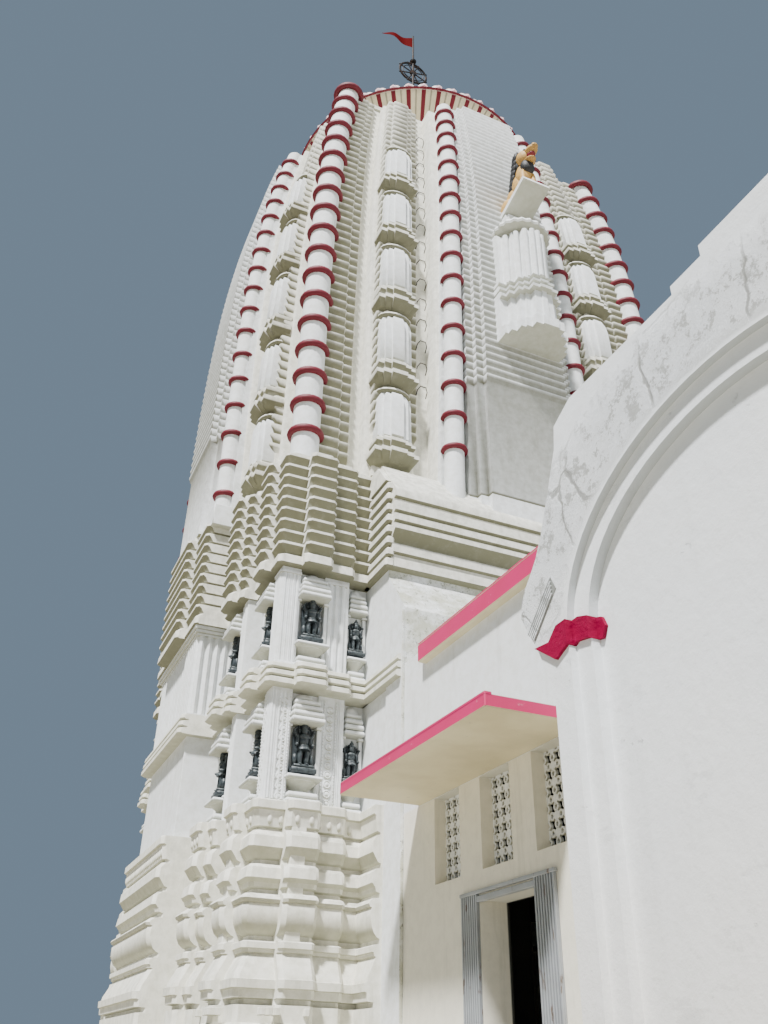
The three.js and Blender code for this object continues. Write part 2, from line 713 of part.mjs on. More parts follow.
function makePassage() {
  const [outside, inside] = [-PASSAGE_HALF, -PASSAGE_ROOM_HALF];
  addPair('wall_beside_tower', box([outside, DOOR.far, 0], [inside, -FORE_BLOCK_FRONT, DOOR.head]), plaster);
  addPair('wall_beside_hall', box([outside, HALL_BACK, 0], [inside, DOOR.near, DOOR.head]), plaster);
  addPair('window_wall', windowWall(), plaster);
  const roof = joined([
    box([-PASSAGE_HALF, HALL_BACK, ROOF_FOOT], [PASSAGE_HALF, -FORE_BLOCK_FRONT, ROOF_TOP]),
    box(
      [-PASSAGE_HALF - ROOF_OVERHANG, HALL_BACK, ROOF_FOOT],
      [PASSAGE_HALF + ROOF_OVERHANG, OVERHANG_FROM, ROOF_TOP],
    ),
  ]);
  addPiece('passage_roof', roof, pinkPlaster);
  const canopy = box([-CANOPY.out, CANOPY.near, CANOPY.foot], [outside, CANOPY.far, CANOPY.top]);
  addPair('canopy', canopy, pinkPlaster);
  const gate = (near) => box([outside - GATE.depth, near, FLOOR], [outside, near + GATE.width, GATE.head]);
  addPair('folded_gate_far', gate(DOOR.far), greyPaint);
  addPair('folded_gate_near', gate(DOOR.near - GATE.width), greyPaint);
  addPair('door_steps', doorSteps(), plaster);
}

function doorSteps() {
  const { count, tread, margin } = STEPS;
  const rise = FLOOR / (count + 1);
  const steps = [];
  for (let i = 0; i < count; i += 1) {
    const reach = -PASSAGE_HALF - tread * (count - i);
    const top = rise * (i + 1);
    steps.push(box([reach, DOOR.near - margin, 0], [-PASSAGE_HALF, DOOR.far + margin, top]));
  }
  return joined(steps);
}

// Half an ellipse on upright sides: the outline of a blind arch between two distances.
function archOutline(from, to, foot, spring, rise) {
  const [middle, half] = [(from + to) / 2, (to - from) / 2];
  const outline = [[from, foot], [to, foot]];
  for (let i = 0; i <= ARCH_SEGMENTS; i += 1) {
    const angle = (i * Math.PI) / ARCH_SEGMENTS;
    outline.push([middle + half * Math.cos(angle), spring + rise * Math.sin(angle)]);
  }
  return outline;
}

// A side wall of the hall: stepped parapet, curved springers past both ends and two blind arches.
function hallSideWall() {
  const middle = (HALL_BACK + HALL_FRONT) / 2;
  const backHalf = [
    ...SPRINGER.map(([out, z]) => [HALL_BACK + out, z]),
    [HALL_BACK - PARAPET_STEPS[0], PARAPET_LEVELS[0]],
    [HALL_BACK - PARAPET_STEPS[0], PARAPET_LEVELS[1]],
    [HALL_BACK - PARAPET_STEPS[1], PARAPET_LEVELS[1]],
    [HALL_BACK - PARAPET_STEPS[1], PARAPET_LEVELS[2]],
  ];
  const frontHalf = backHalf.map(([y, z]) => [2 * middle - y, z]).reverse();
  const outline = [[HALL_FRONT, 0], [HALL_BACK, 0], ...backHalf, ...frontHalf];
  const wall = prismAlongX(outline, -HALL_HALF, -HALL_ROOM_HALF);
  const first = HALL_BACK - CORNER_PIER;
  const panels = [first, first - ARCH_SPAN - MIDDLE_PIER].map((y) => prismAlongX(
    archOutline(y - ARCH_SPAN, y, 0, ARCH_SPRING, ARCH_RISE),
    -HALL_HALF - 1,
    -HALL_HALF + PANEL_DEPTH,
  ));
  return wall.subtract(joined(panels));
}

function makeHall() {
  const endWall = box(
    [-HALL_HALF + PANEL_DEPTH, HALL_BACK - HALL_WALL, 0],
    [-PASSAGE_HALF, HALL_BACK, HALL_ROOF_FOOT],
  );
  addPair('hall_wall', hallSideWall().add(endWall), plaster);
  const front = box(
    [-HALL_ROOM_HALF, HALL_FRONT, 0],
    [HALL_ROOM_HALF, HALL_FRONT + HALL_WALL, PARAPET_LEVELS[0]],
  );
  const arch = prismAlongY(
    archOutline(-ARCH_SPAN / 2, ARCH_SPAN / 2, 0, ARCH_SPRING, ARCH_RISE),
    HALL_FRONT - 1,
    HALL_FRONT + PANEL_DEPTH,
  );
  addPiece('hall_front_wall', front.subtract(arch), plaster);
  const roof = box(
    [-HALL_ROOM_HALF, HALL_FRONT + HALL_WALL, HALL_ROOF_FOOT],
    [HALL_ROOM_HALF, HALL_BACK, HALL_ROOF_TOP],
  );
  const passage = box([-PASSAGE_HALF, HALL_BACK, 0], [PASSAGE_HALF, 0, ROOF_TOP]);
  addPiece('hall_roof', roof.subtract(passage), plaster);
}

makeTower();
makeVestibule();
makeSpire();
makeLion();
makeCrown();
makeWheelAndFlag();
makeFloor();
makePassage();
makeHall();

export default temple;
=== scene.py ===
"""Whitewashed temple of the Odishan tower type, dressed in detail round its solids."""

import math

import bmesh
import bpy
from bpy.props import FloatProperty, FloatVectorProperty, PointerProperty
from bpy.types import Operator, Panel, PropertyGroup
from mathutils import Matrix, Vector


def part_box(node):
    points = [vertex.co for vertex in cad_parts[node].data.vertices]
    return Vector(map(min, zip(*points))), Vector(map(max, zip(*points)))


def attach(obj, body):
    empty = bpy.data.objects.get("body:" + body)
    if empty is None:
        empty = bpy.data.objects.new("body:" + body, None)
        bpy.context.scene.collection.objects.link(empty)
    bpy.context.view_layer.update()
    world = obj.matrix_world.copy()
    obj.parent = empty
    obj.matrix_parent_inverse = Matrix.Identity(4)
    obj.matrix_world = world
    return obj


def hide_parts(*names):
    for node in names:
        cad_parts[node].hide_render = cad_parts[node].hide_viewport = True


bl_info = {
    "name": "Whitewashed Temple",
    "version": (1, 0, 0),
    "blender": (4, 5, 0),
    "location": "3D View > Sidebar > Temple",
    "description": "Dresses the temple in mouldings, niches, rolls, painted rings and limewash",
    "category": "Add Mesh",
}

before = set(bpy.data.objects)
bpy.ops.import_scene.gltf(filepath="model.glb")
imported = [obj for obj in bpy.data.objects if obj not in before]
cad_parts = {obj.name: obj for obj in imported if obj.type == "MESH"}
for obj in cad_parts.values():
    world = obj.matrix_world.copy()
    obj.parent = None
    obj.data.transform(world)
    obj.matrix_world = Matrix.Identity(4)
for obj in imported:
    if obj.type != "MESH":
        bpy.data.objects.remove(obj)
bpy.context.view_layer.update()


def foot_of(node):
    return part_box(node)[0].z


def top_of(node):
    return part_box(node)[1].z


# Levels above the ground, in metres
FLOOR = top_of("floor_slab")
BASE_TOP = top_of("tower_base_mouldings")
BAND_FOOT, BAND_TOP = foot_of("tower_band_moulding"), top_of("tower_band_moulding")
WALL_TOP = top_of("tower_upper_wall")
CORNICE_TOP = top_of("tower_cornice")
SPIRE_TOP = top_of("spire_core")
NECK_FOOT, NECK_TOP = foot_of("neck"), top_of("neck")
RIM_LEVEL = NECK_TOP + 0.84
CAP_FOOT, CAP_TOP = foot_of("crown_cap"), top_of("crown_cap")
FINIAL_TOP = top_of("finial_pot")
POLE_TOP = top_of("wheel_and_pole")
ROOF_FOOT, ROOF_TOP = foot_of("passage_roof"), top_of("passage_roof")

VESTIBULE_HALF = 2.95
VESTIBULE_FRONT = -5.885
VESTIBULE_BROW = -5.235
RECESS_OUT = 3.97
SANCTUM_HALF = 2.0
CORNER = 4.60
# How many elements of a plan stand beside the vestibule on the front face
FRONT_ELEMENTS = 4

# Half a face of a stepped plan, from its middle to the corner: each element ends at `to` along
# the face, stands `out` from the tower's axis and takes `share` of a moulding's projection
WALL_PLAN = [
    (1.50, 5.20, 1), (2.08, 4.38, 1), (2.34, 4.70, 1), (2.85, 4.60, 1), (3.10, 4.74, 1),
    (3.36, 4.28, 1), (3.80, 4.50, 1), (4.27, 4.44, 1), (CORNER, CORNER, 1),
]
MOULDING_PLAN = [
    (1.60, 5.23, 1), (2.06, 4.60, 1), (2.34, 4.77, 1), (2.85, 4.93, 1), (3.10, 4.77, 1),
    (3.38, 4.46, 1), (3.84, 4.60, 1), (4.27, 4.78, 1), (CORNER, CORNER, 1),
]
CORNICE_PLAN = [(0.80, 5.42, 1), (1.65, 5.24, 1), *MOULDING_PLAN[1:]]
SIDE_GROWTH = 0.04
EDGE = 0.008
MOULDING_EDGE = 0.06
ROLL_EDGE = 0.035
# The tops of the panels and shafts stay this much below the spire's top
SINK = 0.004

# Mouldings from the foot up, as level and projection
BASE_PROFILE = [
    (0, 0.34), (1.62, 0.34), (1.66, 0.30), (1.95, 0.30), (2.00, 0.22), (2.20, 0.22),
    (2.21, 0.13), (2.27, 0.13), (2.28, 0.24), (2.38, 0.25), (2.39, 0.29), (2.49, 0.30),
    (2.50, 0.25), (2.56, 0.24), (2.81, 0.10), (2.82, 0.13), (2.86, 0.14), (2.87, 0.17),
    (2.94, 0.17), (2.96, 0.13), (2.97, 0.04), (3.03, 0.04), (3.05, 0.09), (3.10, 0.15),
    (3.18, 0.19), (3.28, 0.21), (3.38, 0.21), (3.42, 0.19), (3.43, 0.23), (3.47, 0.25),
    (3.50, 0.23), (3.54, 0.17), (3.55, 0.05), (3.61, 0.05), (3.63, 0.12), (3.69, 0.14),
    (3.70, 0.16), (3.73, 0.18), (3.74, 0.20), (3.88, 0.18), (3.93, 0.12), (3.94, 0.04),
    (4.00, 0.04), (4.02, 0.10), (4.13, 0.18), (4.15, 0.20), (4.30, 0.19), (4.38, 0.12),
    (4.39, 0.06), (4.42, 0.06), (4.44, 0.12), (4.66, 0.15), (4.68, 0.19), (4.79, 0.19),
    (BASE_TOP, 0.17),
]
BAND_PROFILE = [
    (BAND_FOOT, 0.04), (6.565, 0.14), (6.58, 0.17), (6.65, 0.17), (6.67, 0.14), (6.675, 0.06),
    (6.70, 0.06), (6.705, 0.13), (6.72, 0.155), (6.78, 0.15), (6.80, 0.12), (6.805, 0.05),
    (6.825, 0.05), (6.83, 0.11), (6.85, 0.14), (6.91, 0.13), (BAND_TOP, 0.10),
]
ROLL_LEVELS = (8.86, 10.88)
ROLL_COUNT = 9
PLATE_PROFILE = [(10.89, 0.0), (CORNICE_TOP, 0.0)]
SLAB_PROFILE = [(WALL_TOP, 0.02), (8.672, 0.11), (8.69, 0.13), (8.83, 0.12), (8.86, 0.08)]

# Spire: it leans in by LEAN of its width, slowly at the foot and faster towards the top, and the
# middle panels gather in by RAHA_GATHER more
LEAN = 0.162
LEAN_POWER = 3.4
RAHA_GATHER = 0.13
SPIRE_PLAN = [
    (1.79, 4.85, 0), (2.11, 4.40, 0), (2.30, 4.46, 1), (2.46, 4.54, 1), (2.86, 4.62, 1),
    (3.02, 4.54, 1), (3.16, 4.42, 0), (3.44, 4.13, 0), (3.66, 4.21, 1), (4.30, 4.26, 1),
]
SPIRE_FOOT_PLAN = [(to, out, share if to > 3.3 else 0) for to, out, share in SPIRE_PLAN]
ROLLS_FOOT = 11.27
INNER_ROLLS_FOOT = 12.03
SPIRE_ROOM_HALF = 2.5
CORNER_ROLLS = 51
# One roll, as share of its height and share of its projection
ROLL_SHAPE = [(0.0, 0.0), (0.14, 0.30), (0.55, 0.66), (0.74, 1.0), (0.94, 1.0)]
ROLL_OUT = 0.10
CORNICE_ROLL_OUT = 0.14
PANEL_PLAN = [(0.95, 5.40, 1), (1.11, 5.27, 1), (1.28, 5.14, 1), (1.79, 4.97, 0.4)]
PANEL_ROLLS = 52
PANEL_PLAIN_TOP = 13.33
COLUMN_AT = 4.29
COLUMN_RADIUS = 0.265
RAHA_COLUMN_ALONG = 1.56
RAHA_COLUMN_OUT = 5.07
RAHA_COLUMN_RADIUS = 0.195
RIBS = 52
RIB_STEPS = 6

# Passage and hall, whose outer faces lie at minus x on the left
PASSAGE_OUT = -2.95
PASSAGE_IN = -2.57
WINDOW_CENTRES = (-7.145, -8.340, -9.490)
WINDOW_HALF = 0.3375
WINDOW_FOOT, WINDOW_TOP = 3.49, 4.54
HALL_BACK, HALL_FRONT = -11.745, -20.245
HALL_HALF = 3.9
# The hall's side wall stands out in three layers, and each arch is cut into the outer two
HALL_LAYERS = (-4.21, -4.30, -4.37)

# Blind arches of the hall's sides
ARCH_AT = 15.995
ARCH_APART = 2.05
ARCH_HALF = 1.75
ARCH_SPRING = 4.58
ARCH_RISE = 1.10
ARCH_STEP = 0.20
QUARTERS = ("front", "right", "back", "left")
CORNERS = ("front_right", "back_right", "back_left", "front_left")


def rise_at(z):
    return max(0.0, (z - CORNICE_TOP) / (SPIRE_TOP - CORNICE_TOP))


def lean_at(z):
    return 1 - LEAN * rise_at(z) ** LEAN_POWER


def leaned(point, gather=0.0):
    """A point of the upright spire, drawn in to where it stands on the leaning one."""
    x, y, z = point
    return x * lean_at(z) * (1 - gather * rise_at(z)), y * lean_at(z), z


def turned_to(quarter):
    return Matrix.Rotation(quarter * math.pi / 2, 4, "Z")


MIRROR = Matrix.Diagonal((-1, 1, 1, 1))
# Takes a shape at the back end of the hall's side to its front end
OTHER_END = Matrix.Translation((0, -2 * ARCH_AT, 0)) @ Matrix.Diagonal((1, -1, 1, 1))
SIDES = ((1, "left"), (-1, "right"))


def half_faces():
    """Each half of each face of the tower, as its quarter and the turn that takes a shape there."""
    for quarter in range(4):
        for mirror in (Matrix(), MIRROR):
            yield quarter, turned_to(quarter) @ mirror


def angles(count):
    """Angles that go once round in even steps."""
    return [2 * math.pi / count * i for i in range(count)]


def half_round(count):
    """Angles that go half round in even steps, both ends included."""
    return [math.pi * i / count for i in range(count + 1)]


def section(radius, wide, tall, count):
    """The round section of a hoop, as radius and height."""
    return [(radius + wide * math.cos(a), tall * math.sin(a)) for a in angles(count)]


def circle(x, y, z, wide, deep, count):
    """A level ring of points round a centre."""
    return [(x + wide * math.cos(a), y + deep * math.sin(a), z) for a in angles(count)]


class Form:
    """A mesh in the making, which takes shapes and then becomes a named piece."""

    def __init__(self):
        self.bm = bmesh.new()

    def box(self, corner, opposite, bevel=0.0):
        """A box between two opposite corners, which may be given in any order."""
        low, high = (Vector([pick(pair) for pair in zip(corner, opposite)]) for pick in (min, max))
        place = Matrix.Translation((low + high) / 2) @ Matrix.Diagonal((*(high - low), 1))
        verts = bmesh.ops.create_cube(self.bm, size=1, matrix=place)["verts"]
        if bevel:
            edges = list({edge for vert in verts for edge in vert.link_edges})
            bmesh.ops.bevel(self.bm, geom=edges, offset=bevel, offset_type="OFFSET", affect="EDGES",
                            segments=1, profile=0.5, material=-1)

    def ball(self, centre, radii, sides=10, turn=Matrix()):
        place = Matrix.Translation(centre) @ turn @ Matrix.Diagonal((*radii, 1))
        bmesh.ops.create_uvsphere(self.bm, u_segments=sides, v_segments=max(5, sides * 2 // 3),
                                  radius=1, matrix=place)

    def balls(self, rows):
        """Balls from rows of centre, radii, sides and, where the ball is tilted, its turn."""
        for row in rows:
            self.ball(*row)

    def loop(self, points):
        verts = [self.bm.verts.new(point) for point in points]
        return verts, [self.bm.edges.new(pair) for pair in zip(verts, verts[1:] + verts[:1])]

    def skin(self, rings, capped=True):
        """A closed skin through rings of points that lie one above the other."""
        verts, edges = self.loop(rings[0])
        first = edges
        if capped:
            self.bm.faces.new(verts)
        for points in rings[1:]:
            made = bmesh.ops.extrude_edge_only(self.bm, edges=edges)["geom"]
            fresh = {item for item in made if isinstance(item, bmesh.types.BMVert)}
            above = []
            for vert, point in zip(verts, points):
                new = next(edge.other_vert(vert) for edge in vert.link_edges
                           if edge.other_vert(vert) in fresh)
                new.co = point
                above.append(new)
            verts = above
            edges = [self.bm.edges.get(pair) for pair in zip(verts, verts[1:] + verts[:1])]
        if capped:
            self.bm.faces.new(verts)
        return first, edges

    def hollow(self, rings, room):
        """A skin round a square room that goes right through it."""
        low, high = rings[0][0][2], rings[-1][0][2]
        outer = self.skin(rings, capped=False)
        corners = [(-room, -room), (room, -room), (room, room), (-room, room)]
        inner = self.skin([[(x, y, z) for x, y in corners] for z in (low, high)], capped=False)
        for outside, inside in zip(outer, inner):
            bmesh.ops.triangle_fill(self.bm, edges=outside + inside, use_beauty=True)

    def spun(self, profile, centre=(0, 0, 0), sides=16, closed=False):
        """A solid of revolution round an upright axis, from points as radius and height."""
        before = set(self.bm.verts)
        verts = [self.bm.verts.new((radius, 0, z)) for radius, z in profile]
        ends = verts[1:] + verts[:1] if closed else verts[1:]
        edges = [self.bm.edges.new(pair) for pair in zip(verts, ends)]
        bmesh.ops.spin(self.bm, geom=verts + edges, cent=(0, 0, 0), axis=(0, 0, 1),
                       angle=2 * math.pi, steps=sides, use_merge=True, use_duplicate=False)
        new = [vert for vert in self.bm.verts if vert not in before]
        bmesh.ops.remove_doubles(self.bm, verts=new, dist=1e-5)
        new = [vert for vert in self.bm.verts if vert not in before]
        self.move(centre, new)
        return new

    def prism(self, outline, depth):
        """A flat outline drawn out along a vector."""
        face = self.bm.faces.new([self.bm.verts.new(point) for point in outline])
        made = bmesh.ops.extrude_face_region(self.bm, geom=[face])["geom"]
        self.move(depth, [item for item in made if isinstance(item, bmesh.types.BMVert)])

    def stamp(self, mesh, place=Matrix()):
        """Adds a copy of a mesh at a place."""
        copy = mesh.copy()
        copy.transform(place)
        if place.is_negative:
            copy.flip_normals()
        self.bm.from_mesh(copy)
        bpy.data.meshes.remove(copy)

    def move(self, way, verts=None):
        bmesh.ops.translate(self.bm, vec=Vector(way), verts=verts or self.bm.verts[:])

    def squeeze(self, scale, verts):
        bmesh.ops.scale(self.bm, vec=Vector(scale), verts=verts)

    def lean(self, verts):
        for vert in verts:
            vert.co = leaned(vert.co)

    def sided(self, side):
        """Mirrors a left-hand form where it is for the right side."""
        if side < 0:
            bmesh.ops.transform(self.bm, matrix=MIRROR, verts=self.bm.verts)
            bmesh.ops.reverse_faces(self.bm, faces=self.bm.faces)
        return self

    def trim(self, level, away):
        """Cuts off what lies past a level along y, and closes the cut."""
        bmesh.ops.bisect_plane(self.bm, geom=self.bm.verts[:] + self.bm.edges[:] + self.bm.faces[:],
                               plane_co=(0, level, 0), plane_no=(0, away, 0), clear_outer=True)
        rim = [edge for edge in self.bm.edges if edge.is_boundary]
        bmesh.ops.holes_fill(self.bm, edges=rim, sides=0)

    def ended(self, name):
        """Hands the form over to a new mesh."""
        mesh = bpy.data.meshes.new(name)
        self.bm.to_mesh(mesh)
        self.bm.free()
        return mesh

    def mesh(self, name="shape"):
        """Ends the making, and gives the mesh."""
        bmesh.ops.recalc_face_normals(self.bm, faces=self.bm.faces)
        return self.ended(name)

    def cut(self, boxes):
        """Cuts boxes out of the form."""
        cutter = Form()
        for corner, opposite in boxes:
            cutter.box(corner, opposite)
        pair = [bpy.data.objects.new("cut", mesh) for mesh in (self.mesh(), cutter.mesh())]
        for part in pair:
            bpy.context.scene.collection.objects.link(part)
        knife = pair[0].modifiers.new("cut", "BOOLEAN")
        knife.object, knife.operation, knife.solver = pair[1], "DIFFERENCE", "EXACT"
        graph = bpy.context.evaluated_depsgraph_get()
        result = bpy.data.meshes.new_from_object(pair[0].evaluated_get(graph))
        for part in pair:
            bpy.data.meshes.remove(part.data)
        self.bm = bmesh.new()
        self.bm.from_mesh(result)
        bpy.data.meshes.remove(result)

    def piece(self, name, finish, replaces=(), sharp=35):
        """Turns the form into a piece of the temple in the finish that is named."""
        bmesh.ops.recalc_face_normals(self.bm, faces=self.bm.faces)
        for face in self.bm.faces:
            face.smooth = True
        for edge in self.bm.edges:
            edge.smooth = edge.calc_face_angle(math.pi) < math.radians(sharp)
        mesh = self.ended(name)
        mesh.materials.append(finish_named(finish))
        piece = bpy.data.objects.new(name, mesh)
        bpy.context.scene.collection.objects.link(piece)
        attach(piece, "root")
        if replaces:
            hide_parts(*replaces)
        return piece


def half_plan(elements, grow, chamfer):
    """Half a face of a stepped plan from its middle to the corner, as along and out."""
    points = []
    for (to, out, share), (_, next_out, next_share) in zip(elements, elements[1:]):
        here, there = out + grow * share, next_out + grow * next_share
        if out > next_out:
            edge = to + min(grow, SIDE_GROWTH) * share
            points += [(edge - chamfer, here), (edge, here - chamfer), (edge, there)]
        else:
            edge = to - min(grow, SIDE_GROWTH) * next_share
            points += [(edge, here), (edge, there - chamfer), (edge + chamfer, there)]
    _, out, share = elements[-1]
    reach = out + grow * share
    return points + [(reach - chamfer, reach)]


def face_ring(elements, grow, z, flat_front=True, chamfer=EDGE):
    """A ring round the tower at a level. The front is cut back where the vestibule stands."""
    points = []
    covered = [(VESTIBULE_HALF, RECESS_OUT, 0), *elements[-FRONT_ELEMENTS:]]
    for quarter in range(4):
        half = half_plan(covered if quarter == 0 and flat_front else elements, grow, chamfer)
        turn = turned_to(quarter)
        face = [(-along, -out) for along, out in reversed(half)]
        face += [(along, -out) for along, out in half]
        points += [tuple(turn @ Vector((x, y, z))) for x, y in face]
    return points


def panel_ring(elements, grow, z, back):
    """A ring round a part that stands out of the front face in steps."""
    points = []
    width = elements[-1][0]
    for (to, out, share), (_, next_out, next_share) in zip(elements, elements[1:]):
        side = min(grow, SIDE_GROWTH) * share
        points += [(to + side, out + grow * share), (to + side, next_out + grow * next_share)]
    _, out, share = elements[-1]
    points += [(width, out + grow * share), (width, back)]
    return [(-x, -y, z) for x, y in reversed(points)] + [(x, -y, z) for x, y in points]


def rolls(low, high, count, out):
    """Levels and projections of a stack of rolls between two levels."""
    pitch = (high - low) / count
    stack = [(low + (i + t) * pitch, out * share) for i in range(count) for t, share in ROLL_SHAPE]
    return stack + [(high, 0.0)]


class Value:
    """A number that changes over a surface and can be used in plain maths."""

    def __init__(self, surface, socket):
        self.surface = surface
        self.socket = socket

    def maths(self, operation, *terms):
        return self.surface.node("ShaderNodeMath", {"operation": operation}, dict(enumerate(terms)))

    def __add__(self, other):
        return self.maths("ADD", self, other)

    def __sub__(self, other):
        return self.maths("SUBTRACT", self, other)

    def __rsub__(self, other):
        return self.maths("SUBTRACT", other, self)

    def __mul__(self, other):
        return self.maths("MULTIPLY", self, other)

    def __truediv__(self, other):
        return self.maths("DIVIDE", self, other)

    def __pow__(self, other):
        return self.maths("POWER", self, other)

    __radd__ = __add__
    __rmul__ = __mul__

    def above(self, level, softness=0.1):
        """0 below a level and 1 above it, with a soft step between."""
        return self.surface.node(
            "ShaderNodeMapRange",
            {"interpolation_type": "SMOOTHSTEP"},
            {"Value": self, "From Min": level - softness, "From Max": level + softness},
        )


class Surface:
    """The nodes of one finish, on a Principled shader."""

    def __init__(self, name, roughness=0.85, metallic=0.0, specular=0.5):
        self.material = bpy.data.materials.new(name)
        self.material.use_nodes = True
        self.tree = self.material.node_tree
        self.shader = self.tree.nodes["Principled BSDF"]
        self.shader.inputs["Roughness"].default_value = roughness
        self.shader.inputs["Metallic"].default_value = metallic
        self.shader.inputs["Specular IOR Level"].default_value = specular
        self.place = self.node("ShaderNodeTexCoord", output="Object")
        self.up = self.facing("Z")

    def node(self, kind, settings=None, inputs=None, output=0):
        made = self.tree.nodes.new(kind)
        for name, value in (settings or {}).items():
            if name == "stops":
                self.set_stops(made.color_ramp, value)
            else:
                setattr(made, name, value)
        for name, value in (inputs or {}).items():
            self.feed(made.inputs[name], value)
        return Value(self, made.outputs[output])

    def set_stops(self, ramp, stops):
        while len(ramp.elements) < len(stops):
            ramp.elements.new(1)
        for element, (position, colour) in zip(ramp.elements, stops):
            element.position = position
            element.color = (*colour, 1)

    def feed(self, socket, value):
        if isinstance(value, Value):
            self.tree.links.new(value.socket, socket)
        elif socket.type == "RGBA":
            socket.default_value = (*value[:3], 1)
        else:
            socket.default_value = value

    def mix(self, share, low, high, blend="MIX"):
        return self.node("ShaderNodeMix", {"data_type": "RGBA", "blend_type": blend},
                         {0: share, 6: low, 7: high}, output=2)

    def noise(self, scale, detail=3, stretch=None, roughness=0.55):
        place = self.place
        if stretch:
            place = self.node("ShaderNodeMapping", inputs={"Vector": place, "Scale": stretch})
        return self.node("ShaderNodeTexNoise", inputs={
            "Vector": place, "Scale": scale, "Detail": detail, "Roughness": roughness})

    def cells(self, scale, wander=0.3):
        """Distance to the edge of cells whose edges wander."""
        shift = self.node("ShaderNodeTexNoise", inputs={
            "Vector": self.place, "Scale": scale * 2, "Detail": 5}, output="Color")
        moved = self.node("ShaderNodeVectorMath", {"operation": "MULTIPLY_ADD"},
                          {0: shift, 1: (wander,) * 3, 2: self.place})
        return self.node("ShaderNodeTexVoronoi", {"feature": "DISTANCE_TO_EDGE"},
                         {"Vector": moved, "Scale": scale})

    def facing(self, axis):
        normal = self.node("ShaderNodeNewGeometry", output="Normal")
        return self.node("ShaderNodeSeparateXYZ", inputs={0: normal}, output=axis)

    def beneath(self, level, softness):
        """1 on faces that look down."""
        return (self.up * -1).above(level, softness)

    def axis(self, name):
        return self.node("ShaderNodeSeparateXYZ", inputs={0: self.place}, output=name)

    def indoors(self, half, low, high):
        """1 within a distance of the middle line and between two levels."""
        across = self.axis("X") * self.axis("X")
        level = self.axis("Z")
        near = 1 - across.above(half * half, 0.05)
        return near * level.above(low, 0.01) * (1 - level.above(high, 0.03))

    def bump(self, height, strength=0.3, distance=0.01):
        return self.node("ShaderNodeBump", inputs={
            "Height": height, "Strength": strength, "Distance": distance})

    def finish(self, **sockets):
        for name, value in sockets.items():
            self.feed(self.shader.inputs[name.replace("_", " ")], value)
        return self.material


# Colours of the limewash: painted shade inside, and stains where rain runs, on top, in specks and
# on the vestibule's front
INDOOR_SHADE = (0.035, 0.034, 0.03)
RUN_STAIN = (0.36, 0.35, 0.28)
TOP_STAIN = (0.25, 0.26, 0.22)
SPECK_STAIN = (0.22, 0.21, 0.16)
FRONT_STAIN = (0.40, 0.395, 0.27)
FRONT_SPOTS = (0.13, 0.135, 0.075)
MADE = {}


def finish_named(name):
    """The material of a finish, made the first time that a piece asks for it."""
    if name not in MADE:
        MADE[name] = FINISHES[name][1](bpy.context.scene.temple_colours)
    return MADE[name]


def limewash(name, colour, under, grime, underside_shade=0.6, front=0.0, inside=(), canopy_shade=None):
    """Limewash on plaster: cool and warm patches, run-down streaks, and painted shade on the
    undersides.

    `front` is how weathered the faces to the front are. `inside` gives, for each part of the walls
    that is painted dark as the shade of a dim inside, how far from the middle line it reaches and
    its lowest and highest level.
    The last argument gives the level below which the walls under the canopy are painted a warm
    shade, and the colour of that painted shade.
    """
    surface = Surface(name)
    patches = surface.noise(0.6, 3)
    fine = surface.noise(7, 6, roughness=0.65)
    grain = surface.noise(60, 3)
    streaks = surface.noise(2.2, 5, stretch=(2.4, 2.4, 0.22), roughness=0.7)
    cooler = tuple(c * s for c, s in zip(colour, (0.95, 0.97, 1.0)))
    base = surface.mix(patches.above(0.5, 0.25) * 0.5, colour, cooler)
    # Painted warm shade below a level, where the walls stand under the canopy.
    if canopy_shade:
        base = surface.mix(surface.axis("Z").above(canopy_shade[0], 0.02), canopy_shade[1], base)
    warm = surface.mix(fine.above(0.52, 0.2) * (0.22 + 0.5 * grime), base, under)
    upright = 1 - (surface.up * surface.up).above(0.5, 0.3)
    run = streaks.above(0.62, 0.1) * upright * (0.16 + 0.5 * grime)
    stained = surface.mix(run, warm, RUN_STAIN)
    # Painted shade: faces that look down are darkened towards the underside colour.
    below = surface.beneath(0.30, 0.22) * (underside_shade + 0.3 * fine)
    shaded = surface.mix(below, stained, under)
    on_top = surface.up.above(0.55, 0.25) * fine.above(0.5, 0.15) * (0.18 + 0.6 * grime)
    topped = surface.mix(on_top, shaded, TOP_STAIN)
    specks = surface.noise(26, 2).above(0.74, 0.03) * (0.15 + 0.5 * grime)
    tint = surface.mix(specks, topped, SPECK_STAIN)
    if front:
        ahead = (surface.facing("Y") * -1).above(0.35, 0.2)
        weathered = surface.noise(1.4, 6, roughness=0.7).above(0.46, 0.12)
        tint = surface.mix(ahead * weathered * front, tint, FRONT_STAIN)
        spots = surface.noise(11, 8, roughness=0.85).above(0.57, 0.03)
        tint = surface.mix(ahead * spots * front, tint, FRONT_SPOTS)
    # Painted shade: the walls inside are darkened, as the shade of the dim inside.
    for part in inside:
        tint = surface.mix(surface.indoors(*part), tint, INDOOR_SHADE)
    relief = surface.bump(fine * 0.6 + grain * 0.15 + streaks * 0.3, 0.35, 0.02)
    return surface.finish(Base_Color=tint, Normal=relief, Roughness=fine * 0.15 + 0.8)


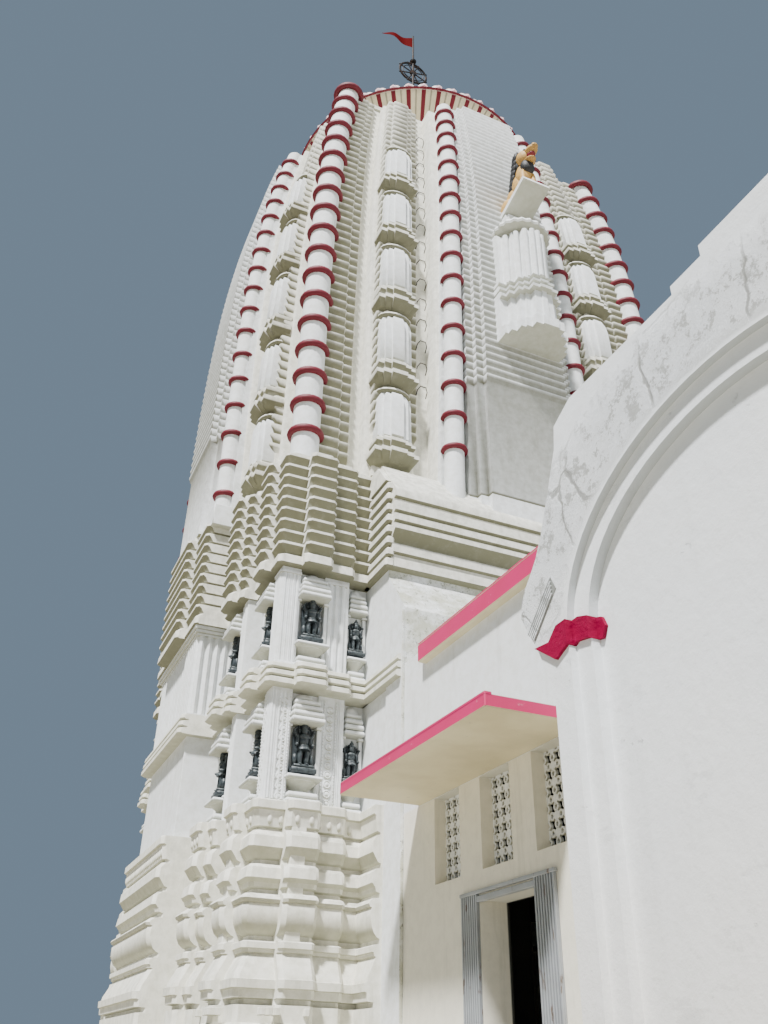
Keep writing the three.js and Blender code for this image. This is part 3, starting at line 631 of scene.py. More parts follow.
def hall_limewash(colours):
    """Thick limewash on the hall walls, patched, with hair cracks and flaked edges, and painted
    shade on the arch reveals and on faces that look down.
    """
    surface = Surface("hall_limewash", 0.8)
    level = surface.axis("Z")
    broad = surface.noise(0.35, 4)
    fine = surface.noise(5, 8, roughness=0.7)
    from_middle = surface.axis("Y") + ARCH_AT
    across = from_middle.maths("ABSOLUTE", from_middle) - ARCH_APART
    # `reach` is 1 on the edge of the outer arch, and the cracks and pits keep to a band round it
    along = across / (ARCH_HALF + ARCH_STEP)
    over = (level - ARCH_SPRING) / (ARCH_RISE + ARCH_STEP)
    reach = (along * along + over * over) ** 0.5
    band = reach.above(1.06, 0.05) * (1 - reach.above(1.5, 0.14)) * over.above(0.15, 0.2)
    cracks = (1 - surface.cells(1.0, 0.35).above(0.014, 0.008)) * band
    rough = surface.noise(5, 9, roughness=0.85)
    pits = rough.above(0.54, 0.02) * band
    base = surface.mix(broad.above(0.5, 0.2), colours.white, (0.80, 0.83, 0.86))
    dusty = surface.mix(fine.above(0.56, 0.16) * 0.3, base, (0.72, 0.73, 0.73))
    flakes = surface.noise(2.6, 8, roughness=0.8).above(0.66, 0.03)
    bare = surface.mix(flakes * 0.35, dusty, (0.64, 0.65, 0.63))
    runs = surface.noise(1.6, 6, stretch=(2.0, 2.0, 0.18), roughness=0.75).above(0.60, 0.08)
    washed = surface.mix(runs * 0.22, bare, (0.62, 0.64, 0.64))
    cracked = surface.mix(cracks * 0.7, washed, (0.20, 0.195, 0.17))
    pitted = surface.mix(pits * 0.7, cracked, (0.34, 0.34, 0.31))
    # Painted shade: faces that do not look sideways, mostly above the springing, are darkened grey
    # as the arches' shaded reveals.
    aside = surface.facing("X") * surface.facing("X")
    arched = level.above(ARCH_SPRING - 0.15, 0.1) * 0.55 + 0.05
    scuffs = surface.noise(1.8, 9, stretch=(1, 0.5, 1.4), roughness=0.8).above(0.60, 0.02) * 0.3
    scuffed = surface.mix(scuffs, pitted, (0.50, 0.51, 0.52))
    earthy = surface.mix(1 - level.above(2.6, 1.6), scuffed, (0.93, 0.89, 0.84), "MULTIPLY")
    shaded_reveal = surface.mix((1 - aside.above(0.6, 0.2)) * arched, earthy, (0.50, 0.54, 0.56))
    # Painted shade: faces that look down are darkened.
    under = surface.mix(surface.beneath(0.4, 0.3) * 0.5, shaded_reveal, (0.42, 0.45, 0.46))
    height = fine * 0.5 - flakes * 0.4 - pits * 2 - cracks + rough * band * 3
    relief = surface.bump(height, 0.6, 0.035)
    return surface.finish(Base_Color=under, Normal=relief, Roughness=fine * 0.2 + 0.7)


def paint(name, colour, worn, wear=0.6, dent=0.01, specular=0.5):
    """Oil paint on plaster, rubbed pale in places, and paler on faces that look up, partly as dust
    and partly as a painted highlight.
    """
    surface = Surface(name, 0.55, specular=specular)
    fine = surface.noise(9, 6, roughness=0.7)
    darker = tuple(c * 0.75 for c in colour)
    tone = surface.mix(surface.noise(1.3).above(0.5, 0.25) * 0.5, colour, darker)
    rubbed = surface.mix(fine.above(wear, 0.05) * 0.6, tone, worn)
    # Faces that look up turn towards the worn colour: partly dust, partly a painted highlight.
    dusty = surface.mix(surface.up.above(0.6, 0.3) * 0.35, rubbed, worn)
    relief = surface.bump(fine, 0.25 + 5 * (dent - 0.01), dent)
    return surface.finish(Base_Color=dusty, Normal=relief, Roughness=fine * 0.3 + 0.45)


def slab_paint(colours):
    """Concrete slab with a pink edge, a stained cream underside and a weathered top, painted dark
    as shade where it lies inside the passage.
    """
    surface = Surface("pink_edged_slab", 0.6)
    fine = surface.noise(5, 7, roughness=0.7)
    patches = surface.noise(2.2, 6).above(0.5, 0.2) * 0.4
    tone = surface.mix(patches, colours.pink, (0.50, 0.02, 0.09))
    edge = surface.mix(fine.above(0.66, 0.03) * 0.3, tone, (0.74, 0.46, 0.50))
    stains = surface.noise(1.1, 5).above(0.5, 0.2) * 0.8
    soffit = surface.mix(stains, (0.77, 0.69, 0.46), (0.56, 0.48, 0.29))
    spots = surface.mix(fine.above(0.68, 0.03) * 0.5, soffit, (0.36, 0.33, 0.24))
    below = surface.mix(surface.beneath(0.6, 0.1), edge, spots)
    top = surface.mix(fine.above(0.5, 0.2), (0.52, 0.50, 0.46), (0.36, 0.35, 0.32))
    whole = surface.mix(surface.up.above(0.6, 0.1), below, top)
    # Painted shade on the part of the slab inside the passage.
    indoors = surface.mix(surface.indoors(2.60, ROOF_FOOT - 0.1, ROOF_TOP - 0.05), whole, INDOOR_SHADE)
    return surface.finish(Base_Color=indoors, Normal=surface.bump(fine, 0.3, 0.015))


def rib_paint(colours):
    """Cream ribs with a crimson stripe down the middle of each and painted shade in the grooves
    between them, under a blush top.
    """
    surface = Surface("amalaka_paint", 0.7)
    angle = surface.axis("Y").maths("ARCTAN2", surface.axis("Y"), surface.axis("X"))
    wave = angle.maths("COSINE", angle * RIBS)
    stripe = wave.above(0.6, 0.1)
    fine = surface.noise(6, 5, roughness=0.7)
    cream = surface.mix(fine.above(0.5, 0.2) * 0.5, (0.74, 0.66, 0.47), (0.56, 0.48, 0.34))
    topside = surface.axis("Z").above(RIM_LEVEL - 0.16, 0.02)
    # Painted shade: a dark line down each groove between the ribs.
    groove_shaded = surface.mix((wave * -1).above(0.94, 0.05) * 0.8, cream, (0.22, 0.20, 0.15))
    striped = surface.mix(stripe, groove_shaded, colours.crimson)
    crown = surface.mix(fine.above(0.55, 0.1) * 0.5, (0.78, 0.70, 0.68), (0.60, 0.46, 0.46))
    whole = surface.mix(topside, striped, crown)
    return surface.finish(Base_Color=whole, Normal=surface.bump(fine, 0.3, 0.02))


def stone_finish(colours):
    surface = Surface("black_stone", 0.35)
    fine = surface.noise(22, 6, roughness=0.7)
    tone = surface.mix(fine.above(0.5, 0.2), colours.stone, (0.055, 0.07, 0.075))
    dust = surface.up.above(0.45, 0.4) * fine.above(0.45, 0.15) * 0.45
    dusty = surface.mix(dust, tone, (0.28, 0.31, 0.30))
    return surface.finish(Base_Color=dusty, Normal=surface.bump(fine, 0.5, 0.012),
                          Roughness=fine * 0.4 + 0.22)


def iron_finish(colours):
    surface = Surface("dark_iron", 0.6, metallic=0.15, specular=0.15)
    fine = surface.noise(14, 6)
    rusty = surface.mix(fine.above(0.56, 0.08), colours.iron, (0.05, 0.025, 0.015))
    return surface.finish(Base_Color=rusty, Normal=surface.bump(fine, 0.4, 0.004),
                          Roughness=fine * 0.4 + 0.35)


def gate_finish(colours):
    surface = Surface("grey_gate_paint", 0.45, metallic=0.2)
    fine = surface.noise(11, 6, stretch=(1, 1, 0.3))
    chipped = surface.mix(fine.above(0.64, 0.03), colours.gate, (0.16, 0.11, 0.08))
    grimy = surface.mix(surface.noise(3, 4).above(0.5, 0.2) * 0.4, chipped, (0.22, 0.22, 0.21))
    return surface.finish(Base_Color=grimy, Normal=surface.bump(fine, 0.2, 0.003),
                          Roughness=fine * 0.3 + 0.3)


def cloth_finish(colours):
    surface = Surface("red_cloth", 0.85, specular=0.05)
    warp, weft = (surface.node("ShaderNodeTexWave", {"bands_direction": way},
                               {"Vector": surface.place, "Scale": 120}) for way in "ZX")
    fading = surface.noise(4, 4).above(0.5, 0.2) * 0.5
    faded = surface.mix(fading, colours.cloth, (0.14, 0.0006, 0.001))
    return surface.finish(Base_Color=faded, Normal=surface.bump(warp + weft, 0.3, 0.002))


def flag_stones(colours):
    """Worn stone flags in straight courses."""
    surface = Surface("stone_floor", 0.7)
    courses = {"Vector": surface.place, "Scale": 1.0, "Mortar Size": 0.012,
               "Brick Width": 0.9, "Row Height": 0.6}
    tones = {"Color1": colours.flags, "Color2": tuple(c * 0.8 for c in colours.flags),
             "Mortar": (0.16, 0.15, 0.14)}
    flags = surface.node("ShaderNodeTexBrick", {"offset": 0.5}, {**courses, **tones})
    joints = surface.node("ShaderNodeTexBrick", {"offset": 0.5}, courses, output="Fac")
    fine = surface.noise(8, 6, roughness=0.7)
    worn = surface.mix(fine.above(0.55, 0.15) * 0.5, flags, (0.40, 0.38, 0.35))
    return surface.finish(Base_Color=worn, Normal=surface.bump(fine * 0.4 - joints, 0.5, 0.01))


def lion_paint(name, colour, dark):
    surface = Surface(name, 0.6)
    fine = surface.noise(13, 6, roughness=0.7)
    aged = surface.mix(fine.above(0.56, 0.12) * 0.7, colour, dark)
    # Painted shade: faces that look down are darkened.
    under = surface.mix(surface.beneath(0.4, 0.3) * 0.4, aged, dark)
    return surface.finish(Base_Color=under, Normal=surface.bump(fine, 0.4, 0.015))


# Each finish, as the slot of the part that it stands for and what makes its material
FINISHES = {
    "white": ("white_plaster", lambda c: limewash("white_plaster", c.white, c.shade, 0.10)),
    "fluted": ("white_plaster", lambda c: limewash("fluted_plaster", c.white, c.shade, 0.05)),
    # The vestibule is painted dark inside its doorway as shade, and its front is weathered.
    "vestibule": ("white_plaster", lambda c: limewash(
        "vestibule_plaster", c.white, c.shade, 0.12, front=0.75, inside=[(1.5, -1, 3.66)])),
    # The passage is painted dark inside as shade, in the inner half of the window reveals too, and
    # a warm shade is painted on its walls below the canopy.
    "passage": ("white_plaster", lambda c: limewash(
        "passage_plaster", c.white, (0.58, 0.56, 0.46), 0.12, canopy_shade=(4.545, (0.84, 0.80, 0.68)),
        inside=[(2.60, -1, 8), (2.735, 3.42, 8)])),
    # The dark strip behind the springer's reeds is painted shade.
    "reed": ("white_plaster", lambda c: limewash(
        "springer_shade_plaster", (0.24, 0.25, 0.23), (0.14, 0.14, 0.11), 0.3)),
    "hall": ("white_plaster", hall_limewash),
    "aged": ("aged_plaster", lambda c: limewash("aged_plaster", c.aged, c.shade, 0.30)),
    "courses": ("aged_plaster", lambda c: limewash(
        "course_plaster", c.aged, c.groove, 0.26, 0.85)),
    "rolls": ("aged_plaster", lambda c: limewash("roll_plaster", c.aged, c.groove, 0.20, 0.85)),
    "panel": ("aged_plaster", lambda c: limewash("panel_plaster", c.white, c.groove, 0.12, 0.85)),
    "cream": ("cream_plaster", lambda c: limewash(
        "cream_plaster", c.cream, (0.50, 0.42, 0.26), 0.35)),
    "blush": ("rib_plaster", lambda c: limewash(
        "blush_plaster", (0.86, 0.66, 0.68), (0.70, 0.40, 0.44), 0.1)),
    "rib": ("rib_plaster", rib_paint),
    "crimson": ("crimson_paint", lambda c: paint(
        "crimson_paint", c.crimson, (0.50, 0.10, 0.16), 0.68)),
    "capital": ("crimson_paint", lambda c: paint(
        "capital_paint", c.magenta, (0.42, 0.004, 0.09), 0.66, dent=0.05, specular=0.12)),
    "slab": ("pink_edged_slab", slab_paint),
    "stone": ("black_stone", stone_finish),
    "iron": ("dark_iron", iron_finish),
    "gate": ("grey_gate_paint", gate_finish),
    "cloth": ("red_cloth", cloth_finish),
    "flags": ("stone_floor", flag_stones),
    "lion": ("lion_plaster", lambda c: lion_paint("lion_plaster", c.lion, (0.34, 0.18, 0.05))),
    "mane": ("lion_plaster", lambda c: lion_paint(
        "lion_mane_paint", (0.006, 0.006, 0.007), (0.05, 0.05, 0.048))),
    "muzzle": ("lion_plaster", lambda c: lion_paint(
        "lion_mouth_paint", c.crimson, (0.30, 0.04, 0.05))),
}


def tower_course(name, elements, profile, finish, replaced, doorway=None, chamfer=MOULDING_EDGE):
    """A part of the tower's wall round the sanctum, from its mouldings."""
    form = Form()
    form.hollow([face_ring(elements, grow, z, True, chamfer) for z, grow in profile], SANCTUM_HALF)
    if doorway:
        form.cut([doorway])
    form.piece(name, finish, [replaced])


class TEMPLE_OT_tower(Operator):
    """Adds the tower's stepped wall with its base, band and cornice mouldings"""

    bl_idname = "temple.tower"
    bl_label = "Tower Wall"

    DOORWAY = ((-0.65, -CORNER - 0.5, -0.1), (0.65, -1.5, 3.25))
    LEAF_RADII = (0.040, 0.035, 0.085)
    LEAF_PITCH, LEAF_OUT, LEAF_LEVEL = 0.115, 0.125, 4.545
    STRIP_AT = 4.12
    DENTIL_START, DENTIL_PITCH, DENTIL_COUNT = 3.92, 0.098, 7

    def execute(self, context):
        tower_course("base_mouldings", MOULDING_PLAN, BASE_PROFILE, "aged",
                     "tower_base_mouldings", doorway=self.DOORWAY)
        for name, low, high in (("lower", BASE_TOP, BAND_FOOT), ("upper", BAND_TOP, WALL_TOP)):
            tower_course(f"{name}_wall", WALL_PLAN, [(low, 0), (high, 0)], "white",
                         f"tower_{name}_wall", chamfer=EDGE)
        tower_course("band_moulding", MOULDING_PLAN, BAND_PROFILE, "aged", "tower_band_moulding")
        stack = rolls(*ROLL_LEVELS, ROLL_COUNT, CORNICE_ROLL_OUT)[1:-1]
        tower_course("cornice_rolls", CORNICE_PLAN, SLAB_PROFILE + stack + PLATE_PROFILE, "courses",
                     "tower_cornice")
        self.strips()
        self.leaves()
        return {"FINISHED"}

    def leaves(self):
        """Rows of small hanging leaves under the top moulding of the base."""
        form, leaf = Form(), Form()
        leaf.ball((0, 0, 0), self.LEAF_RADII, 6)
        shape = leaf.mesh()
        for quarter in range(4):
            start = 0
            for to, out, _ in MOULDING_PLAN:
                count = int((to - start - 0.10) / self.LEAF_PITCH)
                for i in range(count):
                    along = start + (to - start) * (i + 0.5) / count
                    if quarter or along > VESTIBULE_HALF + 0.1:
                        for side in (-1, 1):
                            spot = (side * along, -out - self.LEAF_OUT, self.LEAF_LEVEL)
                            form.stamp(shape, turned_to(quarter) @ Matrix.Translation(spot))
                start = to
        form.piece("base_leaves", "aged", sharp=70)

    def strips(self):
        """Narrow upright strips that tie the base mouldings together, and dentils under them."""
        form, unit = Form(), Form()
        for side in (-1, 1):
            x = side * self.STRIP_AT
            unit.box((x - 0.11, -4.90, 2.82), (x + 0.11, -4.6, 4.45), 0.01)
            for i in range(self.DENTIL_COUNT):
                along = side * (self.DENTIL_START + self.DENTIL_PITCH * i)
                if abs(along - x) > 0.13:
                    unit.box((along - 0.03, -5.08, 2.08), (along + 0.03, -4.9, 2.17), 0.006)
        shape = unit.mesh()
        for quarter in range(4):
            form.stamp(shape, turned_to(quarter))
        form.piece("base_strips", "aged")


class TEMPLE_OT_niches(Operator):
    """Adds the fluted and carved pilasters, the niches and the black stone figures"""

    bl_idname = "temple.niches"
    bl_label = "Niches and Pilasters"

    # Niches as half width, along and out; figures as along, out and size. The front face has room
    # for fewer beside the vestibule.
    CORNER_NICHE = (0.27, 4.035, 4.44)
    NICHES = [(0.115, 3.23, 4.28), (0.27, 2.595, 4.60), (0.17, 1.80, 4.38)]
    FRONT_NICHES = [(0.17, 3.16, 4.28)]
    CORNER_FIGURE = (4.035, 4.58, 1.0)
    FIGURES = [(3.23, 4.36, 0.6), (2.595, 4.74, 1.0), (1.80, 4.48, 0.82)]
    FRONT_FIGURES = [(3.17, 4.38, 0.82)]
    FIGURE_LEVEL = 0.265

    # Steps of a niche in a height of one, as lowest and highest level, and share of its half width
    # and of its depth
    STEPS = (
        (0.000, 0.040, 0.98, 1.00), (0.050, 0.095, 0.88, 0.92), (0.200, 0.235, 1.05, 1.10),
        (0.690, 0.733, 1.00, 1.20), (0.745, 0.792, 0.95, 1.12), (0.804, 0.848, 0.88, 1.00),
        (0.860, 0.900, 0.80, 0.88),
    )
    CUP = [(0, 0.09), (0.62, 0.095), (0.50, 0.12), (0.62, 0.15), (0.95, 0.19), (0.98, 0.205),
           (0, 0.21)]
    DOME = [(0, 0.90), (0.62, 0.905), (0.66, 0.925), (0.58, 0.95), (0.40, 0.975), (0.2, 0.99),
            (0, 0.995)]
    DISC = [(0, 0), (0.062, 0), (0.066, 0.012), (0.052, 0.022), (0.040, 0.014), (0.024, 0.020),
            (0, 0.034)]
    CROWN = [(0, 0), (0.066, 0), (0.07, 0.03), (0.052, 0.05), (0.056, 0.08), (0.036, 0.11),
             (0.02, 0.15), (0, 0.165)]
    SKIRT = [(0, 0), (0.12, 0), (0.115, 0.03), (0.10, 0.05), (0, 0.06)]

    def execute(self, context):
        figure = self.figure()
        niches = {half: self.niche(half) for half in (0.27, 0.17, 0.115)}
        storeys = (
            (BASE_TOP, BAND_FOOT, self.carved(), self.side_carved(), 0.84),
            (BAND_TOP, WALL_TOP, self.fluted(), self.side_fluted(), 0.82),
        )
        walls, statues = Form(), Form()
        for low, high, corner, middle, scale in storeys:
            tall = high - low
            stretch = Matrix.Diagonal((1, 1, tall, 1))
            for quarter, turn in half_faces():
                inner = self.NICHES if quarter else self.FRONT_NICHES
                for half, along, out in [self.CORNER_NICHE, *inner]:
                    place = turn @ Matrix.Translation((along, -out, low))
                    walls.stamp(niches[half], place @ stretch)
                place = turn @ Matrix.Translation((0, 0, low)) @ stretch
                walls.stamp(corner, place)
                if quarter:
                    walls.stamp(middle, place)
                figures = self.FIGURES if quarter else self.FRONT_FIGURES
                for along, out, size in [self.CORNER_FIGURE, *figures]:
                    spot = (along, -out, low + self.FIGURE_LEVEL * tall)
                    place = turn @ Matrix.Translation(spot)
                    statues.stamp(figure, place @ Matrix.Scale(size * scale, 4))
        walls.piece("pilasters_and_niches", "fluted")
        statues.piece("stone_figures", "stone", sharp=60)
        return {"FINISHED"}

    def niche(self, half):
        """A niche in a height of one: lotus pedestal, jambs and a stepped roof with a round top."""
        form = Form()
        deep = 0.30 * half / 0.27
        for low, high, wide, out in self.STEPS:
            form.box((-half * wide, -deep * out, low), (half * wide, 0.02, high), 0.016)
        for i in range(3):
            wide, low = 0.82 - 0.06 * i, 0.74 + 0.056 * i
            form.box((-half * wide, -deep * wide, low), (half * wide, 0.02, low + 0.02))
        for profile in (self.CUP, self.DOME):
            form.squeeze((half, deep, 1), form.spun(profile))
        for side in (-1, 1):
            x = side * half * 0.90
            for wide, out, low, high in ((0.028, 0.42, 0.235, 0.69), (0.045, 0.55, 0.235, 0.26),
                                         (0.045, 0.55, 0.665, 0.69)):
                form.box((x - wide, -deep * out, low), (x + wide, 0.02, high), 0.006)
        return form.mesh()

    def reed(self, form, centre, radius, low, high):
        form.skin([circle(*centre, z, radius, radius, 6) for z in (low, high)])

    def corner_reeds(self, form, radius, high):
        """Reeds on the side of the corner, which the next face's pilaster meets."""
        for i in range(4):
            self.reed(form, (CORNER, -4.33 - i * 0.072), radius, 0.03, high)

    def fluted(self):
        """Reeded corner and side pilasters in a height of one."""
        form = Form()
        for start, width, out, count in ((4.29, 0.30, CORNER, 5), (3.42, 0.34, 4.50, 3)):
            pitch = width / count
            for i in range(count):
                self.reed(form, (start + (i + 0.5) * pitch, -out), pitch * 0.40, 0.03, 0.93)
            for low in (0.0, 0.93):
                form.box((start - 0.02, -out - 0.035, low),
                         (start + width + 0.02, -out + 0.02, low + 0.035), 0.006)
        self.corner_reeds(form, 0.028, 0.93)
        return form.mesh()

    def side_fluted(self):
        """Reeds of the pilasters that only the side and back faces show, in a height of one."""
        form = Form()
        for start, width, out in ((2.10, 0.22, 4.70), (2.88, 0.20, 4.74)):
            for i in range(3):
                self.reed(form, (start + (i + 0.5) * width / 3, -out), 0.028, 0.03, 0.95)
        for i in range(10):
            self.reed(form, (0.075 + 0.15 * i, -5.20), 0.058, 0.03, 0.90)
        for i in range(5):
            self.reed(form, (1.50, -4.55 - 0.15 * i), 0.058, 0.03, 0.90)
        for low, high, grow in ((0.0, 0.025, 0.07), (0.90, 0.925, 0.06), (0.93, 0.96, 0.10),
                                (0.965, 1.0, 0.13)):
            form.box((0, -5.2 - grow, low), (1.5 + grow, -4.45, high))
        return form.mesh()

    def side_carved(self):
        """Borders of the lower pilasters that only the side and back faces show."""
        form = Form()
        for out, places in ((4.70, (2.12, 2.20, 2.28)), (4.74, (2.90, 2.975, 3.05))):
            for x in places:
                self.reed(form, (x, -out), 0.016, 0.01, 0.97)
        return form.mesh()

    def carved(self):
        """Pilasters with a scroll of discs between dotted borders, in a height of one."""
        form, disc, dot = Form(), Form(), Form()
        squash = Matrix.Diagonal((1, 1, 1 / (BAND_FOOT - BASE_TOP), 1))
        disc.spun(self.DISC, sides=12)
        dot.ball((0, 0, 0), (0.011,) * 3, 6)
        tip = Matrix.Rotation(math.pi / 2, 4, "X")
        disc, dot = disc.mesh(), dot.mesh()
        for along, out, border in ((4.385, CORNER, 0.085), (3.60, 4.50, 0.10)):
            for i in range(11):
                spot = Matrix.Translation((along, -out, 0.09 + 0.145 * i))
                form.stamp(disc, squash @ spot @ tip)
            for side in (-1, 1):
                x = along + side * border
                form.box((x - 0.012, -out - 0.018, 0.01), (x + 0.012, -out + 0.01, 0.97), 0.004)
                for i in range(34):
                    spot = Matrix.Translation((x, -out - 0.02, 0.05 + 0.049 * i))
                    form.stamp(dot, squash @ spot)
        for x in (4.51, 4.55, 4.585):
            self.reed(form, (x, -CORNER), 0.016, 0.01, 0.97)
        self.corner_reeds(form, 0.026, 0.97)
        for x in (3.43, 3.46, 3.74, 3.77):
            self.reed(form, (x, -4.50), 0.014, 0.01, 0.97)
        return form.mesh()

    def figure(self):
        """A standing stone figure with four arms, a tall crown and an arched slab behind it."""
        form = Form()
        form.box((-0.24, -0.13, 0), (0.24, 0.10, 0.09), 0.015)
        form.box((-0.20, -0.11, 0.09), (0.20, 0.10, 0.15), 0.02)
        arch = [(0.20 * math.cos(a), 0.045, 0.70 + 0.20 * math.sin(a)) for a in half_round(12)]
        form.prism([(0.17, 0.045, 0.14), *arch, (-0.17, 0.045, 0.14)], (0, 0.06, 0))
        for i in range(11):
            angle = math.pi * (i + 0.5) / 11
            spot = (0.185 * math.cos(angle), 0.04, 0.71 + 0.185 * math.sin(angle))
            form.ball(spot, (0.028,) * 3, 6)
        for side in (-1, 1):
            form.balls([
                ((side * 0.062, -0.02, 0.31), (0.052, 0.055, 0.19), 8),
                ((side * 0.065, -0.05, 0.155), (0.045, 0.075, 0.025), 8),
                ((side * 0.125, -0.01, 0.60), (0.038, 0.042, 0.10), 8),
                ((side * 0.15, -0.06, 0.50), (0.032, 0.07, 0.035), 8),
                ((side * 0.155, 0, 0.70), (0.028, 0.03, 0.085), 8,
                 Matrix.Rotation(side * 0.5, 4, "Y")),
                ((side * 0.185, -0.01, 0.78), (0.034, 0.03, 0.034), 6),
                ((side * 0.155, 0, 0.25), (0.045, 0.05, 0.11), 8),
                ((side * 0.085, -0.005, 0.775), (0.022, 0.022, 0.04), 6),
            ])
        form.balls([
            ((0, -0.02, 0.48), (0.105, 0.075, 0.07)),
            ((0, -0.01, 0.60), (0.10, 0.07, 0.12)),
            ((0, -0.03, 0.66), (0.11, 0.065, 0.06)),
            ((0, -0.03, 0.78), (0.062, 0.066, 0.078)),
        ])
        form.spun(self.CROWN, (0, -0.02, 0.83), 10)
        form.spun(self.SKIRT, (0, -0.01, 0.42), 12)
        return form.mesh()


class TEMPLE_OT_spire(Operator):
    """Adds the ribbed spire with its little shrines and iron hooks"""

    bl_idname = "temple.spire"
    bl_label = "Spire"

    SHRINE_LEVELS = (11.20, 13.06, 15.10, 17.20, 19.10, 20.96)
    SHRINE_MIDDLE, SHRINE_BACK = 2.66, 4.45
    # Rings of a shrine, as share of its height, half width, out and depth of a step
    LIP = [
        (0.000, 0.29, 4.72, 0.03), (0.012, 0.36, 4.82, 0.03), (0.070, 0.45, 4.97, 0.05),
        (0.082, 0.46, 4.99, 0.05), (0.128, 0.46, 4.99, 0.05), (0.140, 0.42, 4.94, 0.04),
        (0.155, 0.33, 4.84, 0.04), (0.165, 0.33, 4.84, 0.04), (0.215, 0.40, 4.92, 0.05),
        (0.228, 0.41, 4.94, 0.05), (0.262, 0.41, 4.94, 0.05), (0.275, 0.36, 4.90, 0.05),
        (0.305, 0.33, 4.86, 0.04),
    ]
    BODY = [
        (0.300, 0.34, 4.88, 0.07), (0.315, 0.355, 4.90, 0.07), (0.790, 0.345, 4.89, 0.07),
        (0.840, 0.33, 4.87, 0.065), (0.880, 0.29, 4.84, 0.055), (0.910, 0.20, 4.78, 0.04),
        (0.920, 0.10, 4.72, 0.02),
    ]
    DOME = [(0, 0), (0.33, 0), (0.37, 0.02), (0.36, 0.04), (0.28, 0.07), (0.14, 0.09), (0, 0.095)]
    HOOK_LEVELS = [13.36 + 0.62 * i for i in range(15)]
    HOOK_ALONG, HOOK_OUT, HOOK_RADIUS = 1.97, 4.50, 0.011
    HOOK_PATH = [(-0.11, 0.02, -0.13), (-0.11, -0.06, -0.02), (-0.06, -0.10, 0.06),
                 (0.06, -0.10, 0.06), (0.11, -0.06, -0.02), (0.11, 0.02, -0.13)]

    def execute(self, context):
        form = Form()
        rings = []
        for z, grow in [(CORNICE_TOP, 0), *rolls(ROLLS_FOOT, SPIRE_TOP, CORNER_ROLLS, ROLL_OUT)]:
            plan = SPIRE_PLAN if z > INNER_ROLLS_FOOT else SPIRE_FOOT_PLAN
            rings.append([leaned(point) for point in face_ring(plan, grow, z, False, ROLL_EDGE)])
        form.hollow(rings, SPIRE_ROOM_HALF)
        form.piece("spire_rolls", "rolls", ["spire_core"], sharp=50)
        shrines, lips, hooks = Form(), Form(), Form()
        for low, high in zip(self.SHRINE_LEVELS, self.SHRINE_LEVELS[1:]):
            body, lip = self.shrine(low, high - low)
            for _, turn in half_faces():
                shrines.stamp(body, turn)
                lips.stamp(lip, turn)
        shrines.piece("little_shrines", "fluted")
        lips.piece("little_shrine_lips", "courses")
        hook = self.hook()
        for z in self.HOOK_LEVELS:
            spot = leaned((self.HOOK_ALONG, -self.HOOK_OUT, z))
            for _, turn in half_faces():
                hooks.stamp(hook, turn @ Matrix.Translation(spot))
        hooks.piece("iron_hooks", "iron")
        return {"FINISHED"}

    def shrine(self, low, height):
        """A little shrine's body, and its lips with the dome on top."""
        def ring(level, half, out, step):
            points = [(half, self.SHRINE_BACK)]
            for wide, inner, steps in ((1.0, 0.72, 2.2), (0.72, 0.36, 1.0)):
                points += [(half * wide, out - steps * step), (half * inner, out - steps * step)]
            points.append((half * 0.36, out))
            right = [(self.SHRINE_MIDDLE + x, -y, low + level * height) for x, y in points]
            left = [(2 * self.SHRINE_MIDDLE - x, y, z) for x, y, z in reversed(right)]
            return [leaned(point) for point in right + left]

        body, lips = Form(), Form()
        lips.skin([ring(*row) for row in self.LIP])
        body.skin([ring(*row) for row in self.BODY])
        verts = lips.spun([(radius, z * height) for radius, z in self.DOME], sides=18)
        lips.squeeze((1, 0.62, 1), verts)
        lips.move((self.SHRINE_MIDDLE, -4.62, low + 0.902 * height), verts)
        lips.lean(verts)
        return body.mesh(), lips.mesh()

    def hook(self):
        """A small iron loop that hangs from the face."""
        form = Form()
        path = [Vector(point) for point in self.HOOK_PATH]
        rings = []
        for before, point, after in zip(path[:1] + path, path, path[1:] + path[-1:]):
            ahead = (after - before).normalized()
            side = ahead.cross(Vector((0, 1, 0.3))).normalized()
            over = ahead.cross(side)
            rings.append([point + self.HOOK_RADIUS * (side * math.cos(a) + over * math.sin(a))
                          for a in angles(4)])
        form.skin(rings)
        return form.mesh()


class TEMPLE_OT_panels(Operator):
    """Adds the ribbed middle panels of the four faces"""

    bl_idname = "temple.panels"
    bl_label = "Middle Panels"

    # The front panel starts lower, on the vestibule's top, and has a groove there
    FRONT_FOOT = [(10.2, 0), (10.66, 0), (10.68, -0.03), (10.72, 0)]
    PANEL_BACK, FRONT_BACK = 4.72, 4.80
    PANEL_ROLL_OUT = 0.06

    def execute(self, context):
        stack = rolls(PANEL_PLAIN_TOP, SPIRE_TOP, PANEL_ROLLS, self.PANEL_ROLL_OUT)
        for quarter, name in enumerate(QUARTERS):
            form = Form()
            rings = []
            for z, grow in ([(CORNICE_TOP, 0)] if quarter else self.FRONT_FOOT) + stack:
                back = self.PANEL_BACK if z >= CORNICE_TOP else self.FRONT_BACK
                ring = panel_ring(PANEL_PLAN, grow, min(z, SPIRE_TOP - SINK), back)
                rings.append([leaned(point, RAHA_GATHER) for point in ring])
            form.skin(rings)
            bmesh.ops.transform(form.bm, matrix=turned_to(quarter), verts=form.bm.verts)
            form.piece(f"panel_rolls_{name}", "panel", [f"middle_panel_{name}"], sharp=50)
        return {"FINISHED"}


